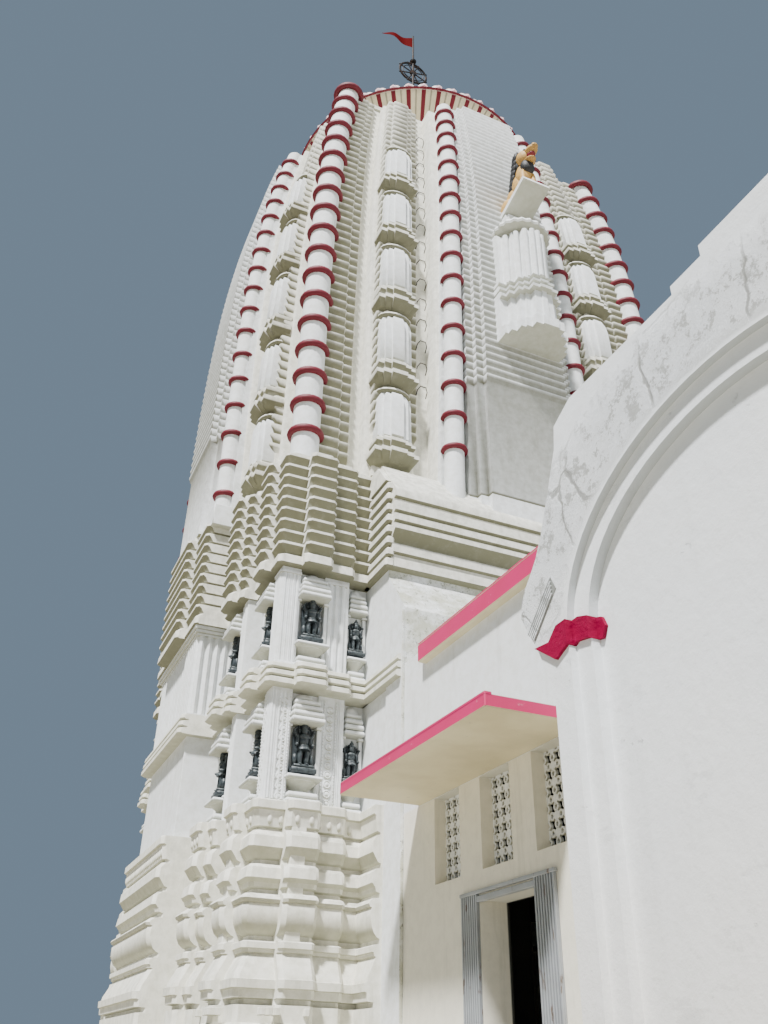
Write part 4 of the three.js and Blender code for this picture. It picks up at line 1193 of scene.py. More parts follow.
class TEMPLE_OT_columns(Operator):
    """Adds the round columns of the spire with their crimson rings"""

    bl_idname = "temple.columns"
    bl_label = "Ringed Columns"

    # Rings: how many, level of the first, rise to the last and how much they close up on the way
    CORNER_RINGS = (18, 11.646, 11.798, 0.058)
    RAHA_RINGS = (17, 11.635, 12.72, 1.339)
    TOP_RING_SIZE = 1.13
    SHAFT_STEPS = 14
    CAP = [(0, 0), (0.26, 0), (0.25, 0.06), (0.18, 0.13), (0, 0.17)]

    def execute(self, context):
        thickness = context.scene.temple_sizes.ring_thickness
        shafts, bands = Form(), Form()
        wide = self.ring(COLUMN_RADIUS + 0.022, 0.5 * thickness)
        slim = self.ring(RAHA_COLUMN_RADIUS + 0.018, 0.4 * thickness)
        for quarter, name in enumerate(CORNERS):
            turn = turned_to(quarter)
            corner = Form()
            self.shaft(corner, COLUMN_AT, COLUMN_AT, COLUMN_RADIUS, 0, CORNICE_TOP - 0.24)
            corner.spun(self.CAP, leaned((COLUMN_AT, -COLUMN_AT, SPIRE_TOP - 0.02)))
            piece = Form()
            piece.stamp(corner.mesh(), turn)
            piece.piece(f"corner_shaft_{name}", "white", [f"corner_column_{name}"], sharp=50)
            levels = self.levels(*self.CORNER_RINGS)
            for z in levels:
                spot = leaned((COLUMN_AT, -COLUMN_AT, z))
                size = Matrix.Scale(self.TOP_RING_SIZE if z == levels[-1] else 1.0, 4)
                bands.stamp(wide, turn @ Matrix.Translation(spot) @ size)
            for side in (-1, 1):
                along, out = side * RAHA_COLUMN_ALONG, RAHA_COLUMN_OUT
                single = Form()
                if quarter:
                    single.box((along - 0.27, -out - 0.25, 10.80),
                               (along + 0.27, -out + 0.3, 11.28), 0.015)
                foot = CORNICE_TOP if quarter else 10.45
                self.shaft(single, along, out, RAHA_COLUMN_RADIUS, RAHA_GATHER, foot)
                shafts.stamp(single.mesh(), turn)
                for z in self.levels(*self.RAHA_RINGS):
                    spot = leaned((along, -out, z), RAHA_GATHER)
                    bands.stamp(slim, turn @ Matrix.Translation(spot))
        shafts.piece("panel_shafts", "white", sharp=40)
        bands.piece("crimson_rings", "crimson", sharp=60)
        return {"FINISHED"}

    def levels(self, count, first, rise, closing):
        shares = [i / (count - 1) for i in range(count)]
        return [first + rise * t - closing * t * t for t in shares]

    def shaft(self, form, along, out, radius, gather, foot):
        rings = []
        for i in range(self.SHAFT_STEPS + 1):
            z = foot + (SPIRE_TOP - 2 * SINK - foot) * i / self.SHAFT_STEPS
            rings.append(circle(*leaned((along, -out, z), gather), radius, radius, 20))
        form.skin(rings)

    def ring(self, radius, tube):
        form = Form()
        form.spun(section(radius, tube, 1.15 * tube, 8), sides=20, closed=True)
        return form.mesh()


class TEMPLE_OT_block(Operator):
    """Adds the corbelled block with its ledge, and the seated lion"""

    bl_idname = "temple.block"
    bl_label = "Block and Lion"

    MIDDLE = 0.10
    BACK = 4.9
    LOWER_PLAN = [(0.14, 6.28, 1), (0.30, 6.24, 1), (0.42, 6.08, 1), (0.52, 6.02, 1),
                  (0.64, 5.84, 1), (0.75, 5.70, 1)]
    # Narrower than the tiers that it joins, so that no two sides lie in one plane
    CORE_PLAN = [(0.92 * to, out, share) for to, out, share in LOWER_PLAN]
    UPPER_PLAN = [(0.12, 6.05, 1), (0.29, 6.00, 1), (0.40, 5.82, 1), (0.46, 5.79, 1),
                  (0.58, 5.62, 1), (0.66, 5.56, 1)]
    POST_PLAN = [(0.28, 5.50, 1), (0.33, 5.45, 1)]
    LOWER_PROFILE = [(14.45, 0.02), (14.47, 0.05), (14.70, 0.05), (14.72, -0.04), (14.76, -0.07),
                     (15.55, -0.09)]
    UPPER_PROFILE = [(16.0, 0.0), (17.5, -0.03), (17.62, -0.05), (17.68, -0.12)]
    TIERS = ((15.55, 15.72, 0.0), (15.78, 15.92, -0.05), (15.97, 16.06, -0.08))
    FLUTES = ((0.07, 6.05), (0.21, 5.98), (0.35, 5.83), (0.50, 5.63))
    CAP = [(0, 0), (0.56, 0), (0.66, 0.04), (0.68, 0.10), (0.62, 0.20), (0.44, 0.32), (0, 0.38)]
    CAP_LEVEL, CAP_OUT = 17.72, 5.50
    CAP_LOBES = 22
    LEDGE = [(4.85, 18.46), (4.85, 18.60), (5.05, 18.62), (6.28, 18.95), (6.32, 18.84),
             (5.0, 18.47)]
    LEDGE_HALF = 0.35
    LION_LEVEL = 18.93

    def execute(self, context):
        form = Form()
        self.tier(form, self.LOWER_PLAN, self.LOWER_PROFILE)
        for low, high, grow in self.TIERS:
            self.tier(form, self.LOWER_PLAN, [(low, grow - 0.06), (low + 0.02, grow),
                                              ((low + high) / 2, grow + 0.01), (high, grow - 0.06)])
        self.tier(form, self.CORE_PLAN, [(15.5, -0.12), (16.1, -0.14)])
        self.tier(form, self.UPPER_PLAN, self.UPPER_PROFILE)
        left = [(-x, out) for x, out in reversed(self.FLUTES)]
        for x, out in [*left, *self.FLUTES]:
            form.skin([circle(x, -out, z, 0.062, 0.05, 8) for z in (16.08, 17.55)])
        for vert in form.spun(self.CAP, sides=2 * self.CAP_LOBES):
            x, y, z = vert.co
            swell = 1 + 0.03 * math.cos(self.CAP_LOBES * math.atan2(y, x))
            vert.co = (x * swell, y * swell * 0.86 - self.CAP_OUT, z + self.CAP_LEVEL)
        self.tier(form, self.POST_PLAN, [(17.6, 0), (18.55, 0)])
        form.prism([(-self.LEDGE_HALF, -y, z) for y, z in self.LEDGE], (2 * self.LEDGE_HALF, 0, 0))
        form.move((self.MIDDLE, 0, 0))
        form.piece("tiered_block", "white", ["corbelled_block"])
        self.lion()
        return {"FINISHED"}

    def tier(self, form, plan, profile):
        form.skin([panel_ring(plan, grow, z, self.BACK) for z, grow in profile])

    def lion(self):
        """The seated lion, with heights above the ledge."""
        body, mane, mouth = Form(), Form(), Form()
        droop, slope = Matrix.Rotation(0.3, 4, "X"), Matrix.Rotation(0.5, 4, "X")
        body.balls([
            ((0, -5.30, 0.02), (0.25, 0.28, 0.36), 16), ((0, -5.48, 0.22), (0.23, 0.26, 0.40), 16),
            ((0, -5.70, 0.46), (0.21, 0.24, 0.42), 16), ((0, -5.86, 0.66), (0.20, 0.21, 0.36), 16),
            ((0, -5.98, 1.11), (0.235, 0.24, 0.245), 16),
            ((0, -6.20, 1.15), (0.15, 0.23, 0.10), 12),
            ((0, -6.38, 1.17), (0.09, 0.07, 0.065)),
            ((0, -6.14, 0.92), (0.13, 0.20, 0.055), 10, droop),
        ])
        for side in (-1, 1):
            body.balls([
                ((side * 0.14, -6.00, 0.30), (0.075, 0.09, 0.40)),
                ((side * 0.14, -6.09, 0.00), (0.085, 0.14, 0.07)),
                ((side * 0.22, -5.36, -0.04), (0.11, 0.24, 0.24), 12),
                ((side * 0.23, -5.60, -0.10), (0.08, 0.18, 0.075)),
            ])
            mane.balls([
                ((side * 0.17, -5.90, 1.31), (0.05, 0.045, 0.09), 8),
                ((side * 0.14, -6.15, 1.21), (0.03, 0.03, 0.03), 6),
                ((side * 0.03, -6.43, 1.17), (0.018, 0.018, 0.018), 6),
            ])
            for i in range(9):
                spot = (side * (0.205 - 0.008 * i), -5.84 + 0.05 * i, 1.20 - 0.12 * i)
                mane.ball(spot, (0.06, 0.11, 0.16), 8, slope)
        mane.balls([
            ((0, -5.80, 1.06), (0.235, 0.16, 0.29), 14), ((0, -6.02, 0.80), (0.18, 0.15, 0.22), 12),
            ((0, -5.62, 0.74), (0.17, 0.14, 0.38), 12, slope),
        ])
        mouth.ball((0, -6.15, 1.03), (0.11, 0.19, 0.07))
        for name, form, finish in (("body", body, "lion"), ("mane", mane, "mane"),
                                   ("mouth", mouth, "muzzle")):
            form.move((self.MIDDLE, 0, self.LION_LEVEL))
            form.piece(f"lion_{name}", finish, ["lion"] if form is body else (), sharp=70)


class TEMPLE_OT_crown(Operator):
    """Adds the neck, the ribbed disc, the cap and the pot of the finial"""

    bl_idname = "temple.crown"
    bl_label = "Crown"

    NECK_RADIUS, NECK_WAIST = 2.5, 2.42
    CAP = [(0, 0), (2.12, 0), (2.30, 0.06), (2.36, 0.2), (2.25, 0.38), (2.02, 0.66), (1.62, 0.88),
           (1.18, 1.04), (0.95, 1.10), (0.98, 1.16), (0.72, 1.22), (0.61, CAP_TOP - CAP_FOOT),
           (0, CAP_TOP - CAP_FOOT)]
    POT = [(0, 0), (0.52, 0), (0.54, 0.06), (0.42, 0.16), (0.40, 0.28), (0.56, 0.38), (0.74, 0.52),
           (0.88, 0.75), (0.90, 0.94), (0.82, 1.15), (0.64, 1.38), (0.42, 1.50), (0.30, 1.60),
           (0.30, 1.70), (0.50, 1.80), (0.53, 1.88), (0.44, 1.95), (0.24, 2.06), (0.18, 2.18),
           (0.12, 2.45), (0.08, FINIAL_TOP - CAP_TOP), (0, FINIAL_TOP - CAP_TOP)]
    # The disc's rings, as height above the neck, radius and depth of the grooves
    DISC = [
        (0.0, 2.70, 0.04), (0.12, 2.92, 0.04), (0.36, 3.30, 0.035), (0.58, 3.58, 0.02),
        (0.68, 3.67, 0.0), (0.74, 3.68, 0.0), (0.80, 3.58, 0.03), (1.10, 3.52, 0.05),
        (1.28, 3.44, 0.05), (1.45, 3.30, 0.05), (1.62, 3.00, 0.05), (1.75, 2.60, 0.05),
    ]
    RIM_RADIUS, RIM_TUBE = 3.70, 0.035
    STUD_RADII, STUD_OUT = (0.13, 0.15, 0.12), 3.56

    def execute(self, context):
        slab = Form()
        slab.box((-3.5, -3.5, SPIRE_TOP), (3.5, 3.5, NECK_FOOT), 0.03)
        slab.piece("top_plate", "aged", ["spire_top_slab"])
        height = NECK_TOP - NECK_FOOT
        lower = [(0, 0), (self.NECK_RADIUS, 0), (self.NECK_RADIUS, 0.1), (self.NECK_WAIST, 0.15)]
        upper = [(radius, height - z) for radius, z in reversed(lower)]
        self.turned("neck_drum", "neck", lower + upper, NECK_FOOT, 48)
        self.disc()
        self.turned("cap_dome", "crown_cap", self.CAP, CAP_FOOT, 48)
        self.turned("finial_vase", "finial_pot", self.POT, CAP_TOP, 32)
        return {"FINISHED"}

    def turned(self, name, replaced, profile, foot, sides):
        """A cream piece of round section on the tower's axis."""
        form = Form()
        form.spun([(radius, foot + z) for radius, z in profile], sides=sides)
        form.piece(name, "cream", [replaced])

    def disc(self):
        """The ribbed disc: each rib is rounded across and tapers to the neck and to the cap."""
        form = Form()
        rings = []
        for up, radius, depth in self.DISC:
            ring = []
            for angle in angles(RIBS * RIB_STEPS):
                swell = abs(math.cos(angle * RIBS / 2)) ** 0.6
                reach = radius * (1 - depth * (1 - swell))
                ring.append((reach * math.cos(angle), reach * math.sin(angle), NECK_TOP + up))
            rings.append(ring)
        form.skin(rings)
        form.piece("ribbed_disc", "rib", ["amalaka_disc"], sharp=60)
        rim = Form()
        rim.spun(section(self.RIM_RADIUS, self.RIM_TUBE, self.RIM_TUBE, 6),
                 (0, 0, RIM_LEVEL - 0.13), 2 * RIBS, closed=True)
        rim.piece("disc_rim", "crimson")
        studs, stud = Form(), Form()
        stud.ball((0, 0, 0), self.STUD_RADII, 8)
        shape = stud.mesh()
        spot = Matrix.Translation((0, -self.STUD_OUT, RIM_LEVEL + 0.03))
        for angle in angles(RIBS):
            studs.stamp(shape, Matrix.Rotation(angle, 4, "Z") @ spot)
        studs.piece("disc_studs", "blush")


class TEMPLE_OT_wheel(Operator):
    """Adds the iron wheel on its pole and the red flag"""

    bl_idname = "temple.wheel"
    bl_label = "Wheel and Flag"

    WHEEL_LEVEL = 31.9
    POLE = [(0, FINIAL_TOP), (0.05, FINIAL_TOP), (0.045, 31.3), (0.036, 33.0),
            (0.030, POLE_TOP - 0.05), (0, POLE_TOP)]
    KNOB = [(0, 32.5), (0.10, 32.52), (0.12, 32.58), (0.06, 32.66), (0, 32.7)]
    HUB = [(0, -0.04), (0.13, -0.035), (0.13, 0.035), (0, 0.04)]
    FLAG_LENGTH, FLAG_FOOT, FLAG_TOP = 1.2, 33.45, 34.02
    FLAG_STEPS = 26
    FLAG_THICKNESS = 0.008
    # Share of its box that the tapering flag fills
    FLAG_SHARE = 0.53

    def execute(self, context):
        form, spoke, petal = Form(), Form(), Form()
        form.spun(section(0.515, 0.042, 0.034, 6), sides=40, closed=True)
        form.spun(section(0.40, 0.018, 0.02, 4), sides=32, closed=True)
        form.spun(self.HUB)
        spoke.box((0.1, -0.02, -0.016), (0.49, 0.02, 0.016), 0.005)
        petal.ball((0.55, 0, 0), (0.05, 0.035, 0.03), 6)
        spoke, petal = spoke.mesh(), petal.mesh()
        for i in range(8):
            turn = Matrix.Rotation(math.pi / 4 * (i + 0.5), 4, "Z")
            form.stamp(spoke, turn)
            form.stamp(petal, turn)
        upright = Matrix.Rotation(math.pi / 2, 3, "X")
        bmesh.ops.rotate(form.bm, cent=(0, 0, 0), matrix=upright, verts=form.bm.verts)
        form.move((0, 0, self.WHEEL_LEVEL))
        for profile in (self.POLE, self.KNOB):
            form.spun(profile, sides=12)
        form.piece("iron_wheel", "iron", ["wheel_and_pole"])
        self.flag()
        return {"FINISHED"}

    def flag(self):
        """A long pennant that waves from the pole."""
        form = Form()
        height = self.FLAG_TOP - self.FLAG_FOOT
        thick = self.FLAG_THICKNESS / 2
        rings = []
        for i in range(self.FLAG_STEPS + 1):
            t = i / self.FLAG_STEPS
            half = height / 2 * (1 - 0.97 * t)
            middle = (self.FLAG_TOP + self.FLAG_FOOT) / 2 - 0.10 * math.sin(2.6 * t)
            y = 0.10 * math.sin(7.5 * t) * t ** 0.7
            x = -0.036 - self.FLAG_LENGTH * 0.97 * t
            rings.append([(x, y - thick, middle - half), (x, y + thick, middle - half),
                          (x, y + thick, middle + half), (x, y - thick, middle + half)])
        form.skin(rings)
        flag = form.piece("pennant", "cloth", ["flag"], sharp=70)


class TEMPLE_OT_vestibule(Operator):
    """Adds the vestibule with its side mouldings and its cornice of slabs"""

    bl_idname = "temple.vestibule"
    bl_label = "Vestibule"

    WAY = ((-1.0, -6.0, -0.1), (1.0, -3.5, 3.6))
    BODY = [(-RECESS_OUT, 0), (-RECESS_OUT, WALL_TOP), (VESTIBULE_BROW, WALL_TOP),
            (VESTIBULE_BROW, 8.55), (VESTIBULE_FRONT, 7.70), (VESTIBULE_FRONT, 0)]
    CORNICE = [
        (-RECESS_OUT, WALL_TOP), (VESTIBULE_BROW, WALL_TOP), (-5.30, WALL_TOP + 0.02),
        (-5.33, 8.72), (-5.33, 8.88), (-5.29, 8.90), (-5.29, 8.96), (-5.36, 8.98), (-5.36, 9.12),
        (-5.31, 9.14), (-5.30, 9.18), (-5.33, 9.24), (-5.42, 9.34), (-5.475, 9.38), (-5.475, 9.47),
        (-5.40, 9.49), (-5.40, 9.53), (-5.475, 9.55), (-5.475, 9.67), (-5.40, 9.69), (-5.40, 9.73),
        (-5.475, 9.75), (-5.475, 9.93), (-5.40, 9.95), (-5.40, 10.01), (-5.475, 10.03),
        (-5.475, 10.16), (-5.45, 10.22), (-4.87, CORNICE_TOP), (-RECESS_OUT, CORNICE_TOP),
    ]
    CORNICE_END = [(-4.3, 10.44), (-5.26, 10.44), (-4.90, 10.90), (-4.3, 10.90)]
    # Slabs on the cornice's sides, as level, height and how far they stand out
    SIDE_SLABS = [(8.67, 0.18, 0.12), *[(8.88 + 0.22 * i, 0.17, 0.10) for i in range(7)]]

    def execute(self, context):
        body = self.across(self.BODY)
        body.cut([self.WAY])
        for side in (-1, 1):
            x = side * VESTIBULE_HALF
            body.box((x, VESTIBULE_FRONT, 0), (x + side * 0.05, -5.30, 7.68), 0.01)
        body.piece("vestibule_walls", "vestibule", ["vestibule_body"])
        sides = Form()
        for side in (-1, 1):
            self.along(sides, side, BASE_PROFILE, -5.20, -4.2)
            self.along(sides, side, BAND_PROFILE, -5.86, -4.2)
        sides.piece("vestibule_side_mouldings", "aged")
        self.across(self.CORNICE).piece("vestibule_slabs", "courses", ["vestibule_cornice"])
        ends = Form()
        for side in (-1, 1):
            inner = side * (VESTIBULE_HALF - 0.05)
            for z, high, grow in self.SIDE_SLABS:
                ends.box((inner, -5.36, z), (side * (VESTIBULE_HALF + grow), -4.3, z + high), 0.035)
            ends.prism([(inner, y, z) for y, z in self.CORNICE_END], (side * 0.15, 0, 0))
        ends.piece("vestibule_cornice_sides", "courses")
        return {"FINISHED"}

    def across(self, outline):
        """A solid with this outline from one side of the vestibule to the other."""
        form = Form()
        form.prism([(-VESTIBULE_HALF, y, z) for y, z in outline], (2 * VESTIBULE_HALF, 0, 0))
        return form

    def along(self, form, side, profile, near, far):
        """Mouldings that run along the side of the vestibule."""
        outline = [(VESTIBULE_HALF + grow * 0.8, z) for z, grow in profile]
        inner = [(VESTIBULE_HALF - 0.1, z) for z in (profile[0][0], profile[-1][0])]
        form.prism([(side * x, near, z) for x, z in (inner[0], *outline, inner[1])],
                   (0, far - near, 0))


class TEMPLE_OT_passage(Operator):
    """Adds the passage walls, the pink-edged slabs, the screens, the gates and the steps"""

    bl_idname = "temple.passage"
    bl_label = "Passage"

    DOOR_FAR, DOOR_NEAR, DOOR_TOP = -7.915, -9.105, 3.17
    ROOF_HALF, ROOF_BACK = 3.08, -6.585
    CANOPY_OUT, CANOPY_FRONT, CANOPY_BACK = -4.11, -10.185, -6.385
    CANOPY_FOOT, CANOPY_TOP = 4.545, 4.69
    STEP_COUNT, STEP_TREAD = 5, 0.28
    BLOCK_WIDE, BLOCK_TALL = 0.16875, 0.175
    RING = [(0.024, -0.018), (0.036, -0.022), (0.047, -0.018), (0.047, 0.018), (0.036, 0.022),
            (0.024, 0.018)]
    BOSS = [(0, -0.016), (0.050, -0.016), (0.050, 0.016), (0, 0.016)]
    GATE_TOP, GATE_WIDTH, CHANNELS = 3.24, 0.34, 8
    BAR_ROWS, BAR_PITCH, BAR_RISE, BAR_TALL = 9, 0.235, 0.07, 0.018

    def execute(self, context):
        for side, name in SIDES:
            self.walls(side, name)
            self.canopy(side, name)
            for where, far in (("far", -7.535), ("near", self.DOOR_NEAR)):
                self.gate(side, name, where, far - 0.36)
            rail = Form()
            rail.box((-2.99, -9.12, 3.15), (-2.93, -7.90, 3.21), 0.005)
            rail.box((-3.00, -9.50, 3.235), (PASSAGE_OUT, -7.52, 3.275), 0.005)
            rail.sided(side).piece(f"{name}_door_rail", "gate")
            self.steps(side, name)
        roof = Form()
        half = self.ROOF_HALF
        roof.box((-half, HALL_BACK, ROOF_FOOT), (half, self.ROOF_BACK, ROOF_TOP), 0.012)
        for side in (-1, 1):
            roof.box((side * 2.90, -11.7, ROOF_TOP - 0.01), (side * half, -6.6, ROOF_TOP + 0.03),
                     0.01)
        roof.piece("passage_roof_slab", "slab", ["passage_roof"])
        end = Form()
        end.box((PASSAGE_OUT, self.ROOF_BACK, ROOF_FOOT), (-PASSAGE_OUT, VESTIBULE_FRONT, ROOF_TOP))
        end.piece("passage_roof_end", "white")
        return {"FINISHED"}

    def walls(self, side, name):
        wall = Form()
        wall.box((PASSAGE_OUT, HALL_BACK, 0), (PASSAGE_IN, VESTIBULE_FRONT, ROOF_FOOT))
        cuts = [((-3.2, y - WINDOW_HALF, WINDOW_FOOT), (-2.3, y + WINDOW_HALF, WINDOW_TOP))
                for y in WINDOW_CENTRES]
        wall.cut([*cuts, ((-3.2, self.DOOR_NEAR, -0.2), (-2.3, self.DOOR_FAR, self.DOOR_TOP))])
        wall.sided(side).piece(
            f"{name}_passage_wall", "passage",
            [f"{name}_wall_beside_tower", f"{name}_wall_beside_hall", f"{name}_window_wall"])
        self.screens().sided(side).piece(f"{name}_pierced_screens", "white")

    def canopy(self, side, name):
        form = Form()
        form.box((self.CANOPY_OUT, self.CANOPY_FRONT, self.CANOPY_FOOT),
                 (PASSAGE_OUT, self.CANOPY_BACK, self.CANOPY_TOP), 0.012)
        form.box((self.CANOPY_OUT, self.CANOPY_FRONT, self.CANOPY_TOP - 0.03),
                 (self.CANOPY_OUT + 0.09, self.CANOPY_BACK, self.CANOPY_TOP + 0.025), 0.012)
        form.sided(side).piece(f"{name}_canopy_slab", "slab", [f"{name}_canopy"])

    def steps(self, side, name):
        form = Form()
        rise = FLOOR / (self.STEP_COUNT + 1)
        for i in range(self.STEP_COUNT):
            reach = PASSAGE_OUT - self.STEP_TREAD * (self.STEP_COUNT - i)
            form.box((reach, -9.205, rise * i - 0.01 if i else 0),
                     (PASSAGE_OUT - 0.001, -7.815, rise * (i + 1)), 0.012)
        form.sided(side).piece(f"{name}_steps", "white", [f"{name}_door_steps"])

    def screens(self):
        """Screen blocks, each a star-shaped hole between four rings and four solid corners."""
        form, ring, boss = Form(), Form(), Form()
        ring.spun(self.RING, closed=True)
        boss.spun(self.BOSS, sides=12)
        ring, boss = ring.mesh(), boss.mesh()
        tip = Matrix.Rotation(math.pi / 2, 4, "Y")
        for middle in WINDOW_CENTRES:
            for column in range(9):
                for row in range(13):
                    if column % 2 == 0 or row % 2 == 0:
                        shape = ring if (column + row) % 2 else boss
                        spot = (-2.77, middle + self.BLOCK_WIDE * (column / 2 - 2),
                                WINDOW_FOOT + self.BLOCK_TALL * row / 2)
                        form.stamp(shape, Matrix.Translation(spot) @ tip)
        return form

    def gate(self, side, name, where, near):
        """A folded gate: upright channels pushed together, with the crossed bars between them."""
        form = Form()
        foot, top = FLOOR + 0.02, self.GATE_TOP
        step = self.GATE_WIDTH / (self.CHANNELS - 1)
        places = [near + i * step for i in range(self.CHANNELS)]
        for y in places:
            form.box((-2.995, y - 0.013, foot), (-2.975, y + 0.013, top), 0.003)
            form.box((-2.975, y - 0.013, foot), (-2.955, y - 0.009, top))
            form.box((-2.975, y + 0.009, foot), (-2.955, y + 0.013, top))
        for row in range(self.BAR_ROWS):
            z = FLOOR + 0.18 + row * self.BAR_PITCH
            for y in places[:-1]:
                for rise, thick in ((-self.BAR_RISE, 0.005), (self.BAR_RISE, 0.010)):
                    outline = [(y, z - rise), (y, z - rise + self.BAR_TALL),
                               (y + step, z + rise + self.BAR_TALL), (y + step, z + rise)]
                    form.prism([(-2.970, along, level) for along, level in outline], (thick, 0, 0))
        form.sided(side).piece(f"{name}_gate_{where}", "gate", [f"{name}_folded_gate_{where}"])


class TEMPLE_OT_hall(Operator):
    """Adds the front hall with its blind arches, capital bands, springers and stepped parapet"""

    bl_idname = "temple.hall"
    bl_label = "Front Hall"

    WALL_END, WALL_HEAD, FRONT_REVEAL = -19.795, 6.7, 0.12
    # The end of the side wall from the springer up to the parapet, as out from the back and level
    END = [
        (0, 4.07), (0.06, 4.25), (0.20, 4.57), (0.31, 4.74), (0.42, 4.94), (0.39, 5.08),
        (0.33, 5.19), (0.22, 5.30), (0.13, 5.40), (0.02, 5.58), (-0.04, 5.72), (-0.17, 6.02),
        (-0.30, 6.32), (-0.33, 6.56), (-0.60, 6.70), (-2.01, 6.70), (-2.01, 6.79), (-2.36, 6.79),
        (-2.36, 6.90),
    ]
    CAPITAL = [(-11.54, 4.57), (-11.75, 4.55), (-11.87, 4.65), (-12.08, 4.66), (-12.27, 4.60),
               (-12.31, 4.51), (-12.26, 4.42), (-12.05, 4.46), (-11.90, 4.40), (-11.83, 4.37),
               (-11.66, 4.49)]
    # The capital steps out with the wall's layers, and its parts overlap a little
    CAPITAL_PARTS = ((-12.5, -12.185), (-12.205, -11.985), (-12.005, -11.4))
    REED_FOOT = Vector((-4.371, -11.42, 4.75))
    REED_ACROSS, REED_RUN = Vector((0, -0.022, -0.020)), Vector((0, -0.40, 0.38))
    REEDS = 5

    def execute(self, context):
        for side, name in SIDES:
            self.side_wall(side, name)
            self.capital(side, name)
            self.springer(side, name)
        front = Form()
        wall = [(-HALL_HALF, 0), (HALL_HALF, 0), (HALL_HALF, self.WALL_HEAD),
                (-HALL_HALF, self.WALL_HEAD)]
        inner = HALL_FRONT + self.FRONT_REVEAL
        front.prism([(x, inner, z) for x, z in wall], (0, self.WALL_END - inner, 0))
        arch = self.arch(0, 0, 24)
        front.prism([(x, HALL_FRONT, z) for x, z in (wall[0], *arch, *wall[1:])],
                    (0, self.FRONT_REVEAL, 0))
        front.piece("hall_front", "hall", ["hall_front_wall"])
        roof = Form()
        roof.box((-HALL_HALF, self.WALL_END, 6.45), (HALL_HALF, HALL_BACK - 0.001, 6.59))
        roof.piece("hall_roof_slab", "hall", ["hall_roof"])
        return {"FINISHED"}

    def arch(self, centre, widen, count):
        """The outline of a blind arch from the ground up and down again."""
        reach, rise = ARCH_HALF + widen, ARCH_RISE + widen
        arc = [(centre + reach * math.cos(a), ARCH_SPRING + rise * math.sin(a))
               for a in reversed(half_round(count))]
        return [(centre - reach, 0), *arc, (centre + reach, 0)]

    def outline(self, widen=None):
        """The side of the hall as y and z, with two arches cut from the ground up if widened."""
        half = [(HALL_BACK + out, z) for out, z in self.END]
        other = [(-2 * ARCH_AT - y, z) for y, z in reversed(half)]
        arches = []
        if widen is not None:
            for apart in (-ARCH_APART, ARCH_APART):
                arches += self.arch(apart - ARCH_AT, widen, 32)
        return [(HALL_FRONT, 0), *arches, (HALL_BACK, 0), *half, *other]

    def side_wall(self, side, name):
        form = Form()
        outlines = (self.outline(), self.outline(0), self.outline(ARCH_STEP))
        for x, inner, outline in zip(HALL_LAYERS, (-HALL_HALF, *HALL_LAYERS), outlines):
            form.prism([(x, y, z) for y, z in outline], (inner - x, 0, 0))
        form.box((-4.0, -12.195, 0), (PASSAGE_OUT, HALL_BACK, 6.45))
        form.sided(side).piece(f"{name}_hall_side", "hall", [f"{name}_hall_wall"])

    def both_ends(self, side, meshes):
        form = Form()
        for mesh in meshes:
            form.stamp(mesh)
            form.stamp(mesh, OTHER_END)
        return form.sided(side)

    def capital(self, side, name):
        """The painted band under the arches' outer springing, at both ends of the wall."""
        shapes = []
        for (low, high), x in zip(self.CAPITAL_PARTS, HALL_LAYERS):
            part = Form()
            part.prism([(x - 0.03, y, z) for y, z in self.CAPITAL], (0.11, 0, 0))
            part.trim(low, -1)
            part.trim(high, 1)
            shapes.append(part.mesh())
        self.both_ends(side, shapes).piece(f"{name}_capital_band", "capital")

    def springer(self, side, name):
        """Slanted reeds on a dark strip of painted shade, at both ends of the wall."""
        # A dark plate of painted shade lies behind the reeds.
        shade_field, reeds = Form(), Form()
        across = self.REEDS * self.REED_ACROSS
        self.slanted(shade_field, self.REED_FOOT, across, self.REED_RUN, 0.9, 0.003)
        for i in range(self.REEDS):
            self.slanted(reeds, self.REED_FOOT + i * self.REED_ACROSS, 0.5 * self.REED_ACROSS,
                         self.REED_RUN * (1 - 0.05 * i), 1, 0.014)
        for form, part, finish in ((shade_field, "shade_field", "reed"), (reeds, "reeds", "hall")):
            self.both_ends(side, [form.mesh()]).piece(f"{name}_springer_{part}", finish)

    def slanted(self, form, start, across, run, taper, out):
        """A slanted strip on the wall, shorter on its far edge by the taper."""
        form.prism([start, start + across, start + across + run * taper, start + run], (-out, 0, 0))


class TEMPLE_OT_floor(Operator):
    """Gives the temple floor its worn stone flags"""

    bl_idname = "temple.floor"
    bl_label = "Floor"

    def execute(self, context):
        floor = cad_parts["floor_slab"]
        floor.data.materials.clear()
        floor.data.materials.append(finish_named("flags"))
        return {"FINISHED"}


